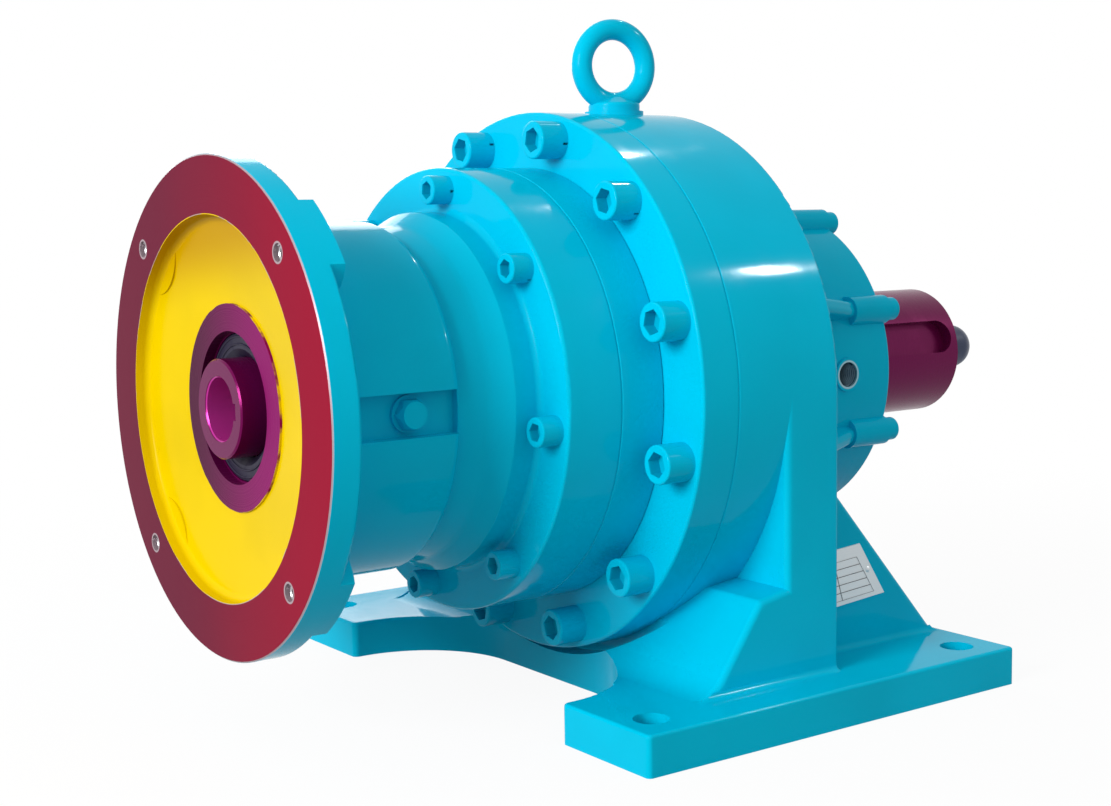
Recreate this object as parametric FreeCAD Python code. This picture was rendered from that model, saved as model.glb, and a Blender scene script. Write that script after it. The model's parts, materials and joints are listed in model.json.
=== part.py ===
import FreeCAD, Part
import math
import os

from FreeCAD import Vector

# Foot-mounted two-stage planetary gear unit with a flange for a foot-less motor.
# Millimetres. The origin is the centre of the four foot holes on the foot's underside,
# +X runs along the shafts to the output end and +Z is up.

# Lengths along the shaft axis; the rear wall of the barrel is the datum
barrel_rear_x = 27.0
adapter_length = 197.0
ring_1_width = 32.0
ring_2_width = 46.0
hub_length = 118.0
shaft_reach = 143.0

# Motor flange
motor_pcd = 265.0
motor_holes = 4
motor_flange_edge = 17.5
motor_spigot_edge = 17.5
motor_rim = 18.0
motor_spigot_depth = 9.0
motor_tap_drill = 10.2
motor_tap_depth = 22.0
motor_boss_dia = 58.0
motor_boss_height = 8.0
spigot_round = 4.5

# Adapter casting behind the motor flange
dish_depth = 15.0
dish_hub_wall = 16.5
dish_hub_step = 1.5
tube_gap = 9.0
neck_wall = 13.0
neck_slot_depth = 12.0
neck_slot_width = 26.0
neck_groove_width = 20.0
neck_groove_depth = 9.0
neck_plug_from_end = 31.0
collar_rise = 5.0
collar_width = 18.0
collar_slope_width = 13.0
collar_slope_rise = 5.5
collar_fillet = 12.0
small_flange_width = 39.0
small_flange_edge = 13.5
gear_space_gap = 4.0

# Flange between the stages
mid_bore_gap = 7.0
mid_web = 7.0
mid_hole_gap = 14.0

# Input shaft and its bearings
motor_shaft_dia = 38.0
motor_shaft_bore_depth = 82.0
motor_key_width = 10.0
motor_key_rise = 3.3
motor_key_turn = 90.0
input_shaft_wall = 11.0
input_shaft_start = 5.0
input_waist_step = 4.0
sun_1_seat_dia = 36.0
input_bearing_section = 17.5
input_bearing_width = 18.0
input_bearing_gap = 30.0
input_seal_section = 15.0
input_seal_start = 20.0
input_seal_width = 12.0
input_recess_step = 1.0
input_shoulder_width = 4.0
input_spacer_wall = 5.0
input_rollers = 12
bearing_tube_wall = 12.5
bearing_tube_step = 6.5

# Gear stages
pressure_angle = math.radians(25.0)
planets = 3
stage_1_module = 4.0
stage_1_sun = 15
stage_1_planet = 18
stage_2_module = 6.0
stage_2_sun = 12
stage_2_planet = 15
addendum = 1.0
dedendum = 1.25
backlash = 0.1
planet_turn = 90.0
planet_end_gap = 1.0
ring_1_wall = 15.0
ring_2_wall = 12.5
ring_2_pins = 6
ring_2_pin_dia = 6.0
ring_2_pin_length = 24.0

# Planet carriers
pin_1_dia = 30.0
pin_2_dia = 44.0
bush_wall = 6.0
carrier_1_edge = 15.0
carrier_1_front = 17.0
carrier_1_rear = 16.0
carrier_1_post_dia = 36.0
carrier_1_post_offset = 10.0
carrier_1_bore_gap = 7.0
carrier_1_journal_wall = 8.0
carrier_1_journal_lead = 5.0
carrier_1_bearing_section = 17.5
carrier_1_bearing_width = 16.0
carrier_1_rollers = 20
carrier_1_front_gap = 2.0
carrier_1_front_room = 2.0
carrier_1_rear_gap = 1.5
carrier_1_rear_room = 3.5
carrier_1_land = 6.0
sun_2_seat_dia = 38.0
carrier_seat_dia = 100.0
carrier_2_edge = 20.0
carrier_2_plate = 20.0
carrier_2_end_room = 4.5
carrier_2_hub_wall = 18.0
carrier_2_hub = 10.5
carrier_2_room = 3.0
carrier_2_hub_room = 5.0

# Output shaft and its bearings
shaft_dia = 95.0
seal_land_step = 2.5
bearing_seat_step = 5.0
shaft_collar_step = 9.0
shaft_collar = 5.0
output_bearing_section = 30.0
output_bearing_front = 28.0
output_bearing_rear = 19.0
output_rollers = 16
race_lip = 2.0
race_flange = 2.2
spacer_wall = 7.0
output_seal_section = 15.0
output_seal_width = 10.0
seal_stop = 1.0
cover_thickness = 14.0
lock_ring_section = 4.0
lock_ring_width = 3.0
lock_ring_opening = 14.0
lock_ring_room = 1.0
keyway_width = 25.0
keyway_depth = 9.0
keyway_end_gap = 8.0
keyway_length = 125.0
keyway_angle = 17.0
hub_key_width = 25.0
hub_key_height = 14.0
hub_key_length = 24.0
hub_key_depth = 9.0
hub_key_inset = 3.0
nose_dia = 34.0
nose_reach = 57.0
nose_round = 16.0
nose_thread_dia = 24.0
nose_thread_length = 38.0
nose_thread_room = 2.0

# Fasteners: thread, head, hexagon key and washer sizes, and the thread's grip
small_screws = 8
small_screw_turn = -6.25
small_thread = 12.0
small_head = 18.0
small_head_room = 5.0
small_key = 10.0
small_washer = 2.5
small_grip = 19.0
big_screws = 12
big_screw_turn = 17.15
big_thread = 16.0
big_head = 24.0
big_head_room = 8.5
big_key = 14.0
big_washer = 4.0
big_grip = 27.0
washer_slit = 1.5
cover_screws = 8
cover_screw_turn = 22.5
cover_thread = 10.0
cover_head = 16.0
cover_key = 8.0
cover_grip = 16.0
plug_thread = 16.0
plug_across = 17.0
plug_skirt_dia = 21.0
plug_top_dia = 15.6
plug_head = 8.0
plug_collar_dia = 22.0
plug_collar = 2.5
plug_length = 14.0

# Barrel and hub
barrel_wall = 8.0
barrel_edge = 15.5
rear_wall = 11.0
hub_wall = 25.0
hub_ribs = 8
rib_thickness = 11.0
rib_height = 36.0
rib_end_gap = 17.0
lug_dia = 20.0
lug_length = 20.0
port_dia = 17.0
port_from_end = 42.0
port_rim_dia = 23.0
port_rim_rise = 1.5

# Foot
foot_thickness = 25.0
foot_hole_x = 260.0
foot_hole_dia = 22.0
foot_hole_gap = 7.0
foot_front_edge = 22.0
foot_rear_edge = 28.0
foot_side_edge = 25.0
foot_corner = 3.0
foot_arm = 83.0
notch_gap = 17.0
notch_corner = 74.0
pillar_thickness = 43.0
gusset_base = 104.5
gusset_top = 65.5
gusset_height = 54.0
gusset_rise = 4.0
gusset_flare = 25.0
cradle_clearance = 6.0
web_thickness = 18.0
web_face_y = 145.0
web_rear_gap = 6.0
web_top = 36.0
web_flare = 8.0

# Eye bolt
eye_thread = 16.0
eye_hole_dia = 35.0
eye_outer_dia = 63.0
eye_collar_dia = 35.0
eye_collar = 6.0
eye_height = 62.0
eye_thread_length = 25.0
eye_from_rear = 36.0
eye_turn = 8.0
eye_seat_dia = 40.0
eye_seat_rise = 2.0

# Name plate: a blank sheet with one slanted end, a little askew, held by two rivets
plate_thickness = 1.0
plate_bottom_length = 66.5
plate_top_length = 46.0
plate_height = 38.0
plate_tilt = 4.5
plate_from_wall = 9.0
plate_from_foot = 28.5
rivet_dia = 2.5
rivet_head_dia = 4.0
rivet_head = 0.8
rivet_grip = 6.0
rivet_inset = 4.0

# Clearances
seat_clearance = 0.05
running_clearance = 0.08
bolt_clearance = 0.5
lip_clearance = 0.3
roller_clearance = 0.1
side_gap = 0.5

# Rounds of the castings and chamfers of machined edges
cast_round = 4.0
wall_round = 6.0
edge_round = 2.0
edge_break = 1.0
joint_break = 0.8

# Corners nearer to each other than this are one corner
same_place = 1e-6

# Gear centres, tips and roots
stage_1_ring = stage_1_sun + 2 * stage_1_planet
stage_2_ring = stage_2_sun + 2 * stage_2_planet
centre_1 = stage_1_module * (stage_1_sun + stage_1_planet) / 2
centre_2 = stage_2_module * (stage_2_sun + stage_2_planet) / 2
ring_1_root_dia = stage_1_module * (stage_1_ring + 2 * dedendum)
ring_2_root_dia = stage_2_module * (stage_2_ring + 2 * dedendum)
sun_2_tip_dia = stage_2_module * (stage_2_sun + 2 * addendum)

# Diameters of the input side, from the motor's shaft outwards
input_shaft_dia = motor_shaft_dia + 2 * input_shaft_wall
input_waist_dia = input_shaft_dia - 2 * input_waist_step
input_bearing_dia = input_shaft_dia + 2 * input_bearing_section
input_seal_dia = input_shaft_dia + 2 * input_seal_section
input_recess_dia = input_seal_dia + 2 * input_recess_step
input_shoulder_dia = input_bearing_dia - 2 * bearing_tube_step
input_spacer_dia = input_shaft_dia + 2 * input_spacer_wall
dish_hub_dia = input_recess_dia + 2 * dish_hub_wall
motor_flange_dia = motor_pcd + 2 * motor_flange_edge
motor_spigot_dia = motor_pcd - 2 * motor_spigot_edge
bush_1_dia = pin_1_dia + 2 * bush_wall
bush_2_dia = pin_2_dia + 2 * bush_wall
carrier_1_dia = 2 * centre_1 + pin_1_dia + 2 * carrier_1_edge
carrier_1_bore_dia = input_shaft_dia + 2 * carrier_1_bore_gap
carrier_1_journal_dia = carrier_1_bore_dia + 2 * carrier_1_journal_wall
carrier_1_bearing_dia = carrier_1_journal_dia + 2 * carrier_1_bearing_section
bearing_tube_dia = carrier_1_bearing_dia + 2 * bearing_tube_wall
gear_space_dia = carrier_1_dia + 2 * gear_space_gap
mid_bore_dia = carrier_1_dia + 2 * mid_bore_gap
mid_hole_dia = sun_2_tip_dia + 2 * mid_hole_gap

# Diameters of the output side, from the shaft outwards
seal_land_dia = shaft_dia + 2 * seal_land_step
bearing_seat_dia = seal_land_dia + 2 * bearing_seat_step
shaft_collar_dia = bearing_seat_dia + 2 * shaft_collar_step
output_bearing_dia = bearing_seat_dia + 2 * output_bearing_section
spacer_dia = bearing_seat_dia + 2 * spacer_wall
lock_ring_dia = bearing_seat_dia + 2 * lock_ring_section
output_seal_dia = seal_land_dia + 2 * output_seal_section
hub_dia = output_bearing_dia + 2 * hub_wall
carrier_2_dia = 2 * centre_2 + pin_2_dia + 2 * carrier_2_edge
carrier_2_hub_dia = carrier_seat_dia + 2 * carrier_2_hub_wall
throat_dia = max(carrier_2_hub_dia, shaft_collar_dia) + 2 * carrier_2_hub_room

# Radii of the castings; a bolt circle clears what lies inside it
slot_floor_r = bearing_tube_dia / 2 + tube_gap + neck_wall
neck_r = slot_floor_r + neck_slot_depth
groove_r = neck_r - neck_groove_depth
collar_r = neck_r + collar_rise
small_screw_pcd = max(
    2 * collar_r + small_head + 2 * small_head_room,
    ring_1_root_dia + small_thread + 2 * bolt_clearance + 2 * ring_1_wall)
small_flange_r = small_screw_pcd / 2 + small_flange_edge
ring_2_dia = ring_2_root_dia + 2 * ring_2_wall
big_screw_pcd = max(
    2 * small_flange_r + big_head + 2 * big_head_room,
    ring_2_dia + big_thread + 2 * barrel_wall)
barrel_r = big_screw_pcd / 2 + barrel_edge
hub_r = hub_dia / 2
axis_height = barrel_r + foot_thickness

# Stations along the shaft axis
x_rear = barrel_rear_x
x_hub_end = x_rear + hub_length
x_cover = x_hub_end - cover_thickness
x_shaft_end = x_hub_end + shaft_reach
x_carrier_2 = x_rear - rear_wall - carrier_2_end_room - carrier_2_plate
x_barrel = x_carrier_2 - side_gap - ring_2_width
x_mid = x_barrel - mid_web - carrier_1_rear_room - carrier_1_rear - carrier_1_rear_gap
x_ring_1 = x_mid - ring_1_width
x_motor = x_ring_1 - adapter_length
x_small_flange = x_ring_1 - small_flange_width
x_collar_front = x_small_flange - collar_width
x_slope = x_collar_front - collar_slope_width
x_neck_end = x_slope - neck_groove_width
x_neck_plug = x_neck_end - neck_plug_from_end
x_shaft_collar = x_carrier_2 + carrier_2_plate + carrier_2_hub
x_bearing_front = x_shaft_collar + shaft_collar
x_bearing_rear = x_cover - output_bearing_rear
x_gear_space = x_ring_1 - carrier_1_front_room - carrier_1_front - carrier_1_front_gap
x_carrier_1 = x_gear_space + carrier_1_front_gap
x_carrier_bearing = x_gear_space - carrier_1_bearing_width
x_journal = x_carrier_bearing - carrier_1_journal_lead
x_carrier_1_rear = x_mid + carrier_1_rear_gap
x_carrier_1_end = x_carrier_1_rear + carrier_1_rear
x_input_shaft = x_motor + input_shaft_start
x_input_seal = x_motor + input_seal_start
x_input_shoulder = x_input_seal + input_seal_width
x_input_front = x_input_shoulder + input_shoulder_width
x_input_rear = x_carrier_bearing - input_bearing_gap - input_bearing_width
x_circlip = x_input_rear + input_bearing_width

# Foot outline
foot_front = -foot_hole_x / 2 - foot_front_edge
foot_rear = foot_hole_x / 2 + foot_rear_edge
foot_hole_y = 2 * barrel_r + 2 * foot_hole_gap
foot_half_width = foot_hole_y / 2 + foot_side_edge
foot_top = foot_thickness - axis_height
foot_middle = foot_thickness / 2 - axis_height
notch_half_width = foot_half_width - foot_arm
notch_end = x_barrel - notch_gap

parts = {}


# Outlines and basic solids


def corner_reach(points, i):
    """Length that the arc or chamfer of a corner takes from each of the corner's two sides."""
    u, v, *rest = points[i]
    size = rest[0] if rest else 0
    if size <= 0:
        return -size
    before = points[i - 1]
    after = points[(i + 1) % len(points)]
    back = Vector(before[0] - u, before[1] - v, 0)
    ahead = Vector(after[0] - u, after[1] - v, 0)
    return size / math.tan(back.getAngle(ahead) / 2)


def fitted(points):
    """Corners whose sizes are cut down where two of them need more than the side between them."""
    shares = [1.0] * len(points)
    for i in range(len(points)):
        room = math.dist(points[i - 1][:2], points[i][:2])
        need = corner_reach(points, i - 1) + corner_reach(points, i)
        if need > room + same_place:
            shares[i - 1] = min(shares[i - 1], room / need)
            shares[i] = min(shares[i], room / need)
    return [(u, v, share * (rest[0] if rest else 0)) for (u, v, *rest), share in zip(points, shares)]


def rounded_wire(points, place):
    """Closed wire through (u, v) or (u, v, size) corners.

    A positive size is the radius of an arc tangent to both sides, a negative one the width of a chamfer.
    """
    points = fitted(points)
    corners = []
    for i, (u, v, size) in enumerate(points):
        here = Vector(u, v, 0)
        if size == 0:
            corners.append((here, None, here))
            continue
        before = points[i - 1]
        after = points[(i + 1) % len(points)]
        back = Vector(before[0] - u, before[1] - v, 0).normalize()
        ahead = Vector(after[0] - u, after[1] - v, 0).normalize()
        reach = corner_reach(points, i)
        via = None
        if size > 0:
            middle = (back + ahead).normalize()
            via = here + middle * (size / math.sin(back.getAngle(ahead) / 2) - size)
        corners.append((here + back * reach, via, here + ahead * reach))
    edges = []
    for i, (start, via, end) in enumerate(corners):
        if via:
            edges.append(Part.Arc(place(start), place(via), place(end)).toShape())
        elif (end - start).Length > same_place:
            edges.append(Part.LineSegment(place(start), place(end)).toShape())
        following = corners[(i + 1) % len(corners)][0]
        if (following - end).Length > same_place:
            edges.append(Part.LineSegment(place(end), place(following)).toShape())
    return Part.Wire(edges)


def turned(points):
    """Solid of revolution about the shaft axis from (x, radius) corners."""
    wire = rounded_wire(points, lambda p: Vector(p.x, 0, p.y))
    return Part.Face(wire).revolve(Vector(0, 0, 0), Vector(1, 0, 0), 360)


def plate_x(points, x0, x1):
    """Plate between two stations from (y, z) corners."""
    wire = rounded_wire(points, lambda p: Vector(x0, p.x, p.y))
    return Part.Face(wire).extrude(Vector(x1 - x0, 0, 0))


def plate_y(points, y0, y1):
    """Plate between two y levels from (x, z) corners."""
    wire = rounded_wire(points, lambda p: Vector(p.x, y0, p.y))
    return Part.Face(wire).extrude(Vector(0, y1 - y0, 0))


def plate_z(points, z0, z1):
    """Plate between two heights from (x, y) corners."""
    wire = rounded_wire(points, lambda p: Vector(p.x, p.y, z0))
    return Part.Face(wire).extrude(Vector(0, 0, z1 - z0))


def rod(x0, x1, dia, y=0.0, z=0.0):
    """Cylinder parallel to the shaft axis."""
    return Part.makeCylinder(dia / 2, x1 - x0, Vector(x0, y, z), Vector(1, 0, 0))


def ring(x0, x1, outer_dia, inner_dia):
    """Tube on the shaft axis."""
    return turned([(x0, inner_dia / 2), (x1, inner_dia / 2), (x1, outer_dia / 2), (x0, outer_dia / 2)])


def around(shape, count, start=0.0):
    """Copies of a shape spaced evenly about the shaft axis."""
    copies = []
    for i in range(count):
        copy = shape.copy()
        copy.rotate(Vector(0, 0, 0), Vector(1, 0, 0), start + 360.0 * i / count)
        copies.append(copy)
    return copies


def circle_of(shape, count, pcd, start):
    """Copies of a shape made on the shaft axis, spread on a bolt circle."""
    shape = shape.copy()
    shape.translate(Vector(0, pcd / 2, 0))
    return around(shape, count, start)


def small_circle(shape):
    """Copies of a shape on the small flange's bolt circle."""
    return circle_of(shape, small_screws, small_screw_pcd, 180.0 - small_screw_turn)


def big_circle(shape):
    """Copies of a shape on the big flange's bolt circle."""
    return circle_of(shape, big_screws, big_screw_pcd, 180.0 - big_screw_turn)


def cover_circle(shape):
    """Copies of a shape on the end cover's bolt circle, which is the hub's rim."""
    return circle_of(shape, cover_screws, hub_dia, 180.0 - cover_screw_turn)


def hexagon_x(x0, x1, across):
    """Hexagonal prism on the shaft axis."""
    corner = across / math.sqrt(3)
    points = []
    for i in range(6):
        turn = math.radians(60 * i)
        points.append((corner * math.cos(turn), corner * math.sin(turn)))
    return plate_x(points, x0, x1)


def socket_screw(x_seat, thread, head, key, length, way=1):
    """Socket head screw on the shaft axis whose head rests at x_seat and whose shank points along way * X."""
    chamfer = thread / 12
    top = x_seat - way * thread
    tip = x_seat + way * length
    body = turned([
        (top, 0), (top, head / 2, chamfer), (x_seat, head / 2), (x_seat, thread / 2),
        (tip, thread / 2, -chamfer), (tip, 0)])
    socket_end = top + way * thread / 2
    return body.cut(hexagon_x(min(top, socket_end), max(top, socket_end), key))


def spring_washer(x_seat, thickness, head, thread):
    """Split ring under a screw's head, made on the shaft axis."""
    start = x_seat - thickness
    slit = Part.makeBox(thickness, washer_slit, head, Vector(start, -washer_slit / 2, 0))
    return ring(start, x_seat, head, thread + 2 * bolt_clearance).cut(slit)


def keep(name, *solids):
    """Stores a node, lifted so that the foot stands on z = 0."""
    shape = solids[0] if len(solids) == 1 else Part.makeCompound(list(solids))
    shape = shape.copy()
    shape.translate(Vector(0, 0, axis_height))
    parts[name] = shape


# Gear teeth


def tooth_half_angle(radius, pitch_r, thickness):
    """Half the angle that a tooth covers at a radius; the involute ends at its base circle."""
    base_r = pitch_r * math.cos(pressure_angle)
    local = math.acos(min(1.0, base_r / radius))
    involute = math.tan(pressure_angle) - pressure_angle
    return thickness / (2 * pitch_r) + involute - (math.tan(local) - local)


def toothed(teeth, module, tip_r, root_r, thickness, x0, x1, turn):
    """Prism with involute-like teeth: each flank is an arc through its root, pitch and tip points."""
    pitch_r = teeth * module / 2
    edges = []

    def at(radius, angle):
        return Vector(x0, radius * math.cos(angle), radius * math.sin(angle))

    for i in range(teeth):
        middle = turn + 2 * math.pi * i / teeth
        root = tooth_half_angle(root_r, pitch_r, thickness)
        pitch = tooth_half_angle(pitch_r, pitch_r, thickness)
        tip = tooth_half_angle(tip_r, pitch_r, thickness)
        following = middle + 2 * math.pi / teeth
        edges.append(Part.Arc(
            at(root_r, middle - root), at(pitch_r, middle - pitch), at(tip_r, middle - tip)).toShape())
        edges.append(Part.Arc(at(tip_r, middle - tip), at(tip_r, middle), at(tip_r, middle + tip)).toShape())
        edges.append(Part.Arc(
            at(tip_r, middle + tip), at(pitch_r, middle + pitch), at(root_r, middle + root)).toShape())
        edges.append(Part.Arc(
            at(root_r, middle + root), at(root_r, middle + math.pi / teeth),
            at(root_r, following - root)).toShape())
    return Part.Face(Part.Wire(edges)).extrude(Vector(x1 - x0, 0, 0))


def outer_gear(teeth, module, x0, x1, turn):
    """External gear blank with teeth, on the shaft axis."""
    pitch_r = teeth * module / 2
    thickness = module * (math.pi / 2 - backlash / 2)
    return toothed(
        teeth, module, pitch_r + addendum * module, pitch_r - dedendum * module, thickness, x0, x1, turn)


def ring_space(teeth, module, x0, x1, turn):
    """The toothed space inside an internal gear."""
    pitch_r = teeth * module / 2
    thickness = module * (math.pi / 2 + backlash / 2)
    return toothed(
        teeth, module, pitch_r + dedendum * module, pitch_r - addendum * module, thickness, x0, x1, turn)


def planet_phase(place, sun, planet):
    """Turn of a planet at an angle about the sun, so that its tooth space meets the sun's tooth."""
    sun_count = place * sun / (2 * math.pi)
    return place + math.pi - (0.5 - sun_count) * 2 * math.pi / planet


def ring_phase(sun, planet, outer):
    """Turn of the ring's tooth spaces, so that they meet the teeth of the first planet."""
    planet_count = -planet_phase(0.0, sun, planet) * planet / (2 * math.pi)
    return -planet_count * 2 * math.pi / outer


def turn_stage(shape):
    """Turns a stage so that its first planet stands at the top."""
    shape.rotate(Vector(0, 0, 0), Vector(1, 0, 0), planet_turn)
    return shape


def on_planets(shape, centre):
    """Copies of a shape made on the shaft axis, one on each planet's axis."""
    shape = shape.copy()
    shape.translate(Vector(0, centre, 0))
    return around(shape, planets, planet_turn)


# Motor adapter


def motor_adapter():
    """Casting between the motor and the gears: flange, neck, bearing tube and rear flange."""
    m = x_motor
    spigot_r = motor_spigot_dia / 2
    dish_r = dish_hub_dia / 2
    tube_r = bearing_tube_dia / 2
    neck_inner = tube_r + tube_gap
    floor = m + dish_depth + neck_wall
    step = bearing_tube_step
    seat_r = carrier_1_bearing_dia / 2
    seat_start = x_carrier_bearing
    seat_end = x_gear_space
    body = turned([
        (m, motor_flange_dia / 2, -edge_break), (m + motor_rim, motor_flange_dia / 2, edge_round),
        (m + motor_rim, neck_r, wall_round), (x_neck_end, neck_r, wall_round),
        (x_neck_end, groove_r, edge_round), (x_slope, groove_r + collar_slope_rise, collar_fillet),
        (x_collar_front, collar_r, edge_round), (x_small_flange, collar_r, cast_round),
        (x_small_flange, small_flange_r, edge_round), (x_ring_1, small_flange_r, -joint_break),
        (x_ring_1, gear_space_dia / 2), (seat_end, gear_space_dia / 2),
        (seat_end - neck_wall, neck_inner), (floor, neck_inner, wall_round),
        (floor, tube_r - step, wall_round), (seat_start - 2 * step, tube_r - step),
        (seat_start - step, tube_r), (seat_end, tube_r), (seat_end, seat_r), (seat_start, seat_r),
        (seat_start, seat_r - step), (seat_start - step, seat_r - step),
        (seat_start - step, input_bearing_dia / 2), (x_input_front, input_bearing_dia / 2),
        (x_input_front, input_shoulder_dia / 2), (x_input_shoulder, input_shoulder_dia / 2),
        (x_input_shoulder, input_seal_dia / 2), (x_input_seal, input_seal_dia / 2),
        (x_input_seal, input_recess_dia / 2), (m + dish_depth - dish_hub_step, input_recess_dia / 2),
        (m + dish_depth - dish_hub_step, dish_r), (m + dish_depth, dish_r),
        (m + motor_spigot_depth, spigot_r, spigot_round), (m, spigot_r)])
    boss = rod(m + motor_rim / 2, m + motor_rim + motor_boss_height, motor_boss_dia)
    rim = rod(m, x_neck_end, motor_flange_dia)
    bosses = [boss.common(rim) for boss in circle_of(boss, motor_holes, motor_pcd, 45.0)]
    body = body.fuse(bosses)
    tap = rod(m, m + motor_tap_depth, motor_tap_drill)
    bolt_hole = rod(x_small_flange - cast_round, x_ring_1, small_thread + 2 * bolt_clearance)
    groove = ring(
        x_circlip - seat_clearance, x_circlip + lock_ring_width + seat_clearance,
        input_bearing_dia + 2 * lock_ring_width, input_bearing_dia)
    slot = Part.makeBox(
        x_neck_end - m - motor_rim, neck_r, neck_slot_width,
        Vector(m + motor_rim, slot_floor_r, -neck_slot_width / 2))
    tools = circle_of(tap, motor_holes, motor_pcd, 45.0)
    tools += small_circle(bolt_hole)
    tools += around(slot, 2)
    tools += around(plug_hole(), 2)
    tools.append(groove)
    return body.cut(tools).removeSplitter()


def plug_hole():
    """Tapped hole through the neck's wall, on the +Y side."""
    start = slot_floor_r - 2 * neck_wall
    return Part.makeCylinder(
        plug_thread / 2 + seat_clearance, 3 * neck_wall, Vector(x_neck_plug, start, 0), Vector(0, 1, 0))


def neck_plug():
    """Hexagon head screw plug on its sealing collar, on the +Y side."""
    seat = Vector(x_neck_plug, slot_floor_r, 0)
    under_head = seat + Vector(0, plug_collar, 0)
    outward = Vector(0, 1, 0)
    shank = Part.makeCylinder(plug_thread / 2, plug_length, seat - outward * plug_length, outward)
    collar = Part.makeCylinder(plug_collar_dia / 2, plug_collar, seat, outward)
    head = hexagon_x(0, plug_head, plug_across)
    head.rotate(Vector(0, 0, 0), Vector(0, 0, 1), 90)
    head.translate(under_head)
    crown = Part.makeCone(plug_skirt_dia / 2, plug_top_dia / 2, plug_head, under_head, outward)
    return shank.fuse([collar, head.common(crown)]).removeSplitter()


# Gears and the flange between the stages


def ring_gear_1():
    """Internal gear clamped between the adapter and the middle flange."""
    blank = turned([
        (x_ring_1, 0), (x_ring_1, small_flange_r, -joint_break), (x_mid, small_flange_r, -joint_break),
        (x_mid, 0)])
    turn = ring_phase(stage_1_sun, stage_1_planet, stage_1_ring)
    teeth = turn_stage(ring_space(stage_1_ring, stage_1_module, x_ring_1, x_mid, turn))
    hole = rod(x_ring_1, x_mid, small_thread + 2 * bolt_clearance)
    return blank.cut([teeth] + small_circle(hole))


def middle_flange():
    """Flange that carries the first ring gear and closes the output housing."""
    bore_r = mid_bore_dia / 2
    hole_r = mid_hole_dia / 2
    body = turned([
        (x_mid, bore_r), (x_barrel - mid_web, bore_r), (x_barrel - mid_web, hole_r), (x_barrel, hole_r),
        (x_barrel, barrel_r, -joint_break), (x_mid, barrel_r, edge_round)])
    small = rod(x_mid, x_mid + small_grip + small_thread / 4, small_thread + 2 * seat_clearance)
    big = rod(x_mid, x_barrel, big_thread + 2 * bolt_clearance)
    tools = small_circle(small)
    tools += big_circle(big)
    tools += ring_2_pin_circle(2 * seat_clearance)
    return body.cut(tools)


def ring_2_pin_circle(extra):
    """Pins that keep the second ring gear from turning, midway in its wall; extra makes their holes."""
    half = ring_2_pin_length / 2
    pin = rod(x_barrel - half - extra, x_barrel + half + extra, ring_2_pin_dia + extra)
    return circle_of(pin, ring_2_pins, (ring_2_root_dia + ring_2_dia) / 2, 0.0)


def ring_gear_2():
    """Internal gear in the barrel's bore."""
    start = x_barrel
    end = x_barrel + ring_2_width
    blank = rod(start, end, ring_2_dia - 2 * seat_clearance)
    turn = ring_phase(stage_2_sun, stage_2_planet, stage_2_ring)
    teeth = turn_stage(ring_space(stage_2_ring, stage_2_module, start, end, turn))
    return blank.cut([teeth] + ring_2_pin_circle(2 * seat_clearance))


def sun_gear(teeth, module, x0, x1, bore):
    """Sun pinion with a plain bore."""
    gear = turn_stage(outer_gear(teeth, module, x0, x1, 0.0))
    return gear.cut(rod(x0, x1, bore + 2 * seat_clearance))


def planet_gear(index, sun, teeth, module, centre, x0, x1, bore):
    """One planet, turned to mesh with its sun and ring."""
    place = 2 * math.pi * index / planets
    gear = outer_gear(teeth, module, x0, x1, planet_phase(place, sun, teeth))
    gear = gear.cut(rod(x0, x1, bore))
    gear.translate(Vector(0, centre * math.cos(place), centre * math.sin(place)))
    return turn_stage(gear)


def planet_bush(index, centre, x0, x1, outer_dia, pin_dia):
    """Bearing bush of one planet."""
    place = 2 * math.pi * index / planets
    bush = ring(x0, x1, outer_dia - 2 * seat_clearance, pin_dia + 2 * running_clearance)
    bush.translate(Vector(0, centre * math.cos(place), centre * math.sin(place)))
    return turn_stage(bush)


# Carriers


def carrier_1():
    """Two plates joined by posts, with a bearing journal in front and the second sun's seat behind."""
    front = x_carrier_1
    front_end = front + carrier_1_front
    rear = x_carrier_1_rear
    rear_end = x_carrier_1_end
    tip = x_barrel + ring_2_width - 2 * planet_end_gap
    plate_r = carrier_1_dia / 2
    journal_r = carrier_1_journal_dia / 2
    bore_r = carrier_1_bore_dia / 2
    seat_r = sun_2_seat_dia / 2
    front_plate = turned([
        (x_journal, bore_r), (front_end, bore_r), (front_end, plate_r, -edge_break),
        (front, plate_r, -edge_break), (front, journal_r + carrier_1_land),
        (x_gear_space, journal_r + carrier_1_land), (x_gear_space, journal_r),
        (x_journal, journal_r, -edge_break)])
    rear_plate = turned([
        (rear, 0), (rear, plate_r, -edge_break), (rear_end, plate_r, -edge_break),
        (rear_end, seat_r + carrier_1_land), (x_barrel + planet_end_gap, seat_r + carrier_1_land),
        (x_barrel + planet_end_gap, seat_r), (tip, seat_r, -edge_break), (tip, 0)])
    post = rod(front_end, rear, carrier_1_post_dia)
    post_pcd = 2 * centre_1 + 2 * carrier_1_post_offset
    posts = circle_of(post, planets, post_pcd, planet_turn + 180.0 / planets)
    body = front_plate.fuse([rear_plate] + posts).removeSplitter()
    hole = rod(front, rear_end, pin_1_dia + 2 * seat_clearance)
    return body.cut(on_planets(hole, centre_1))


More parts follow.
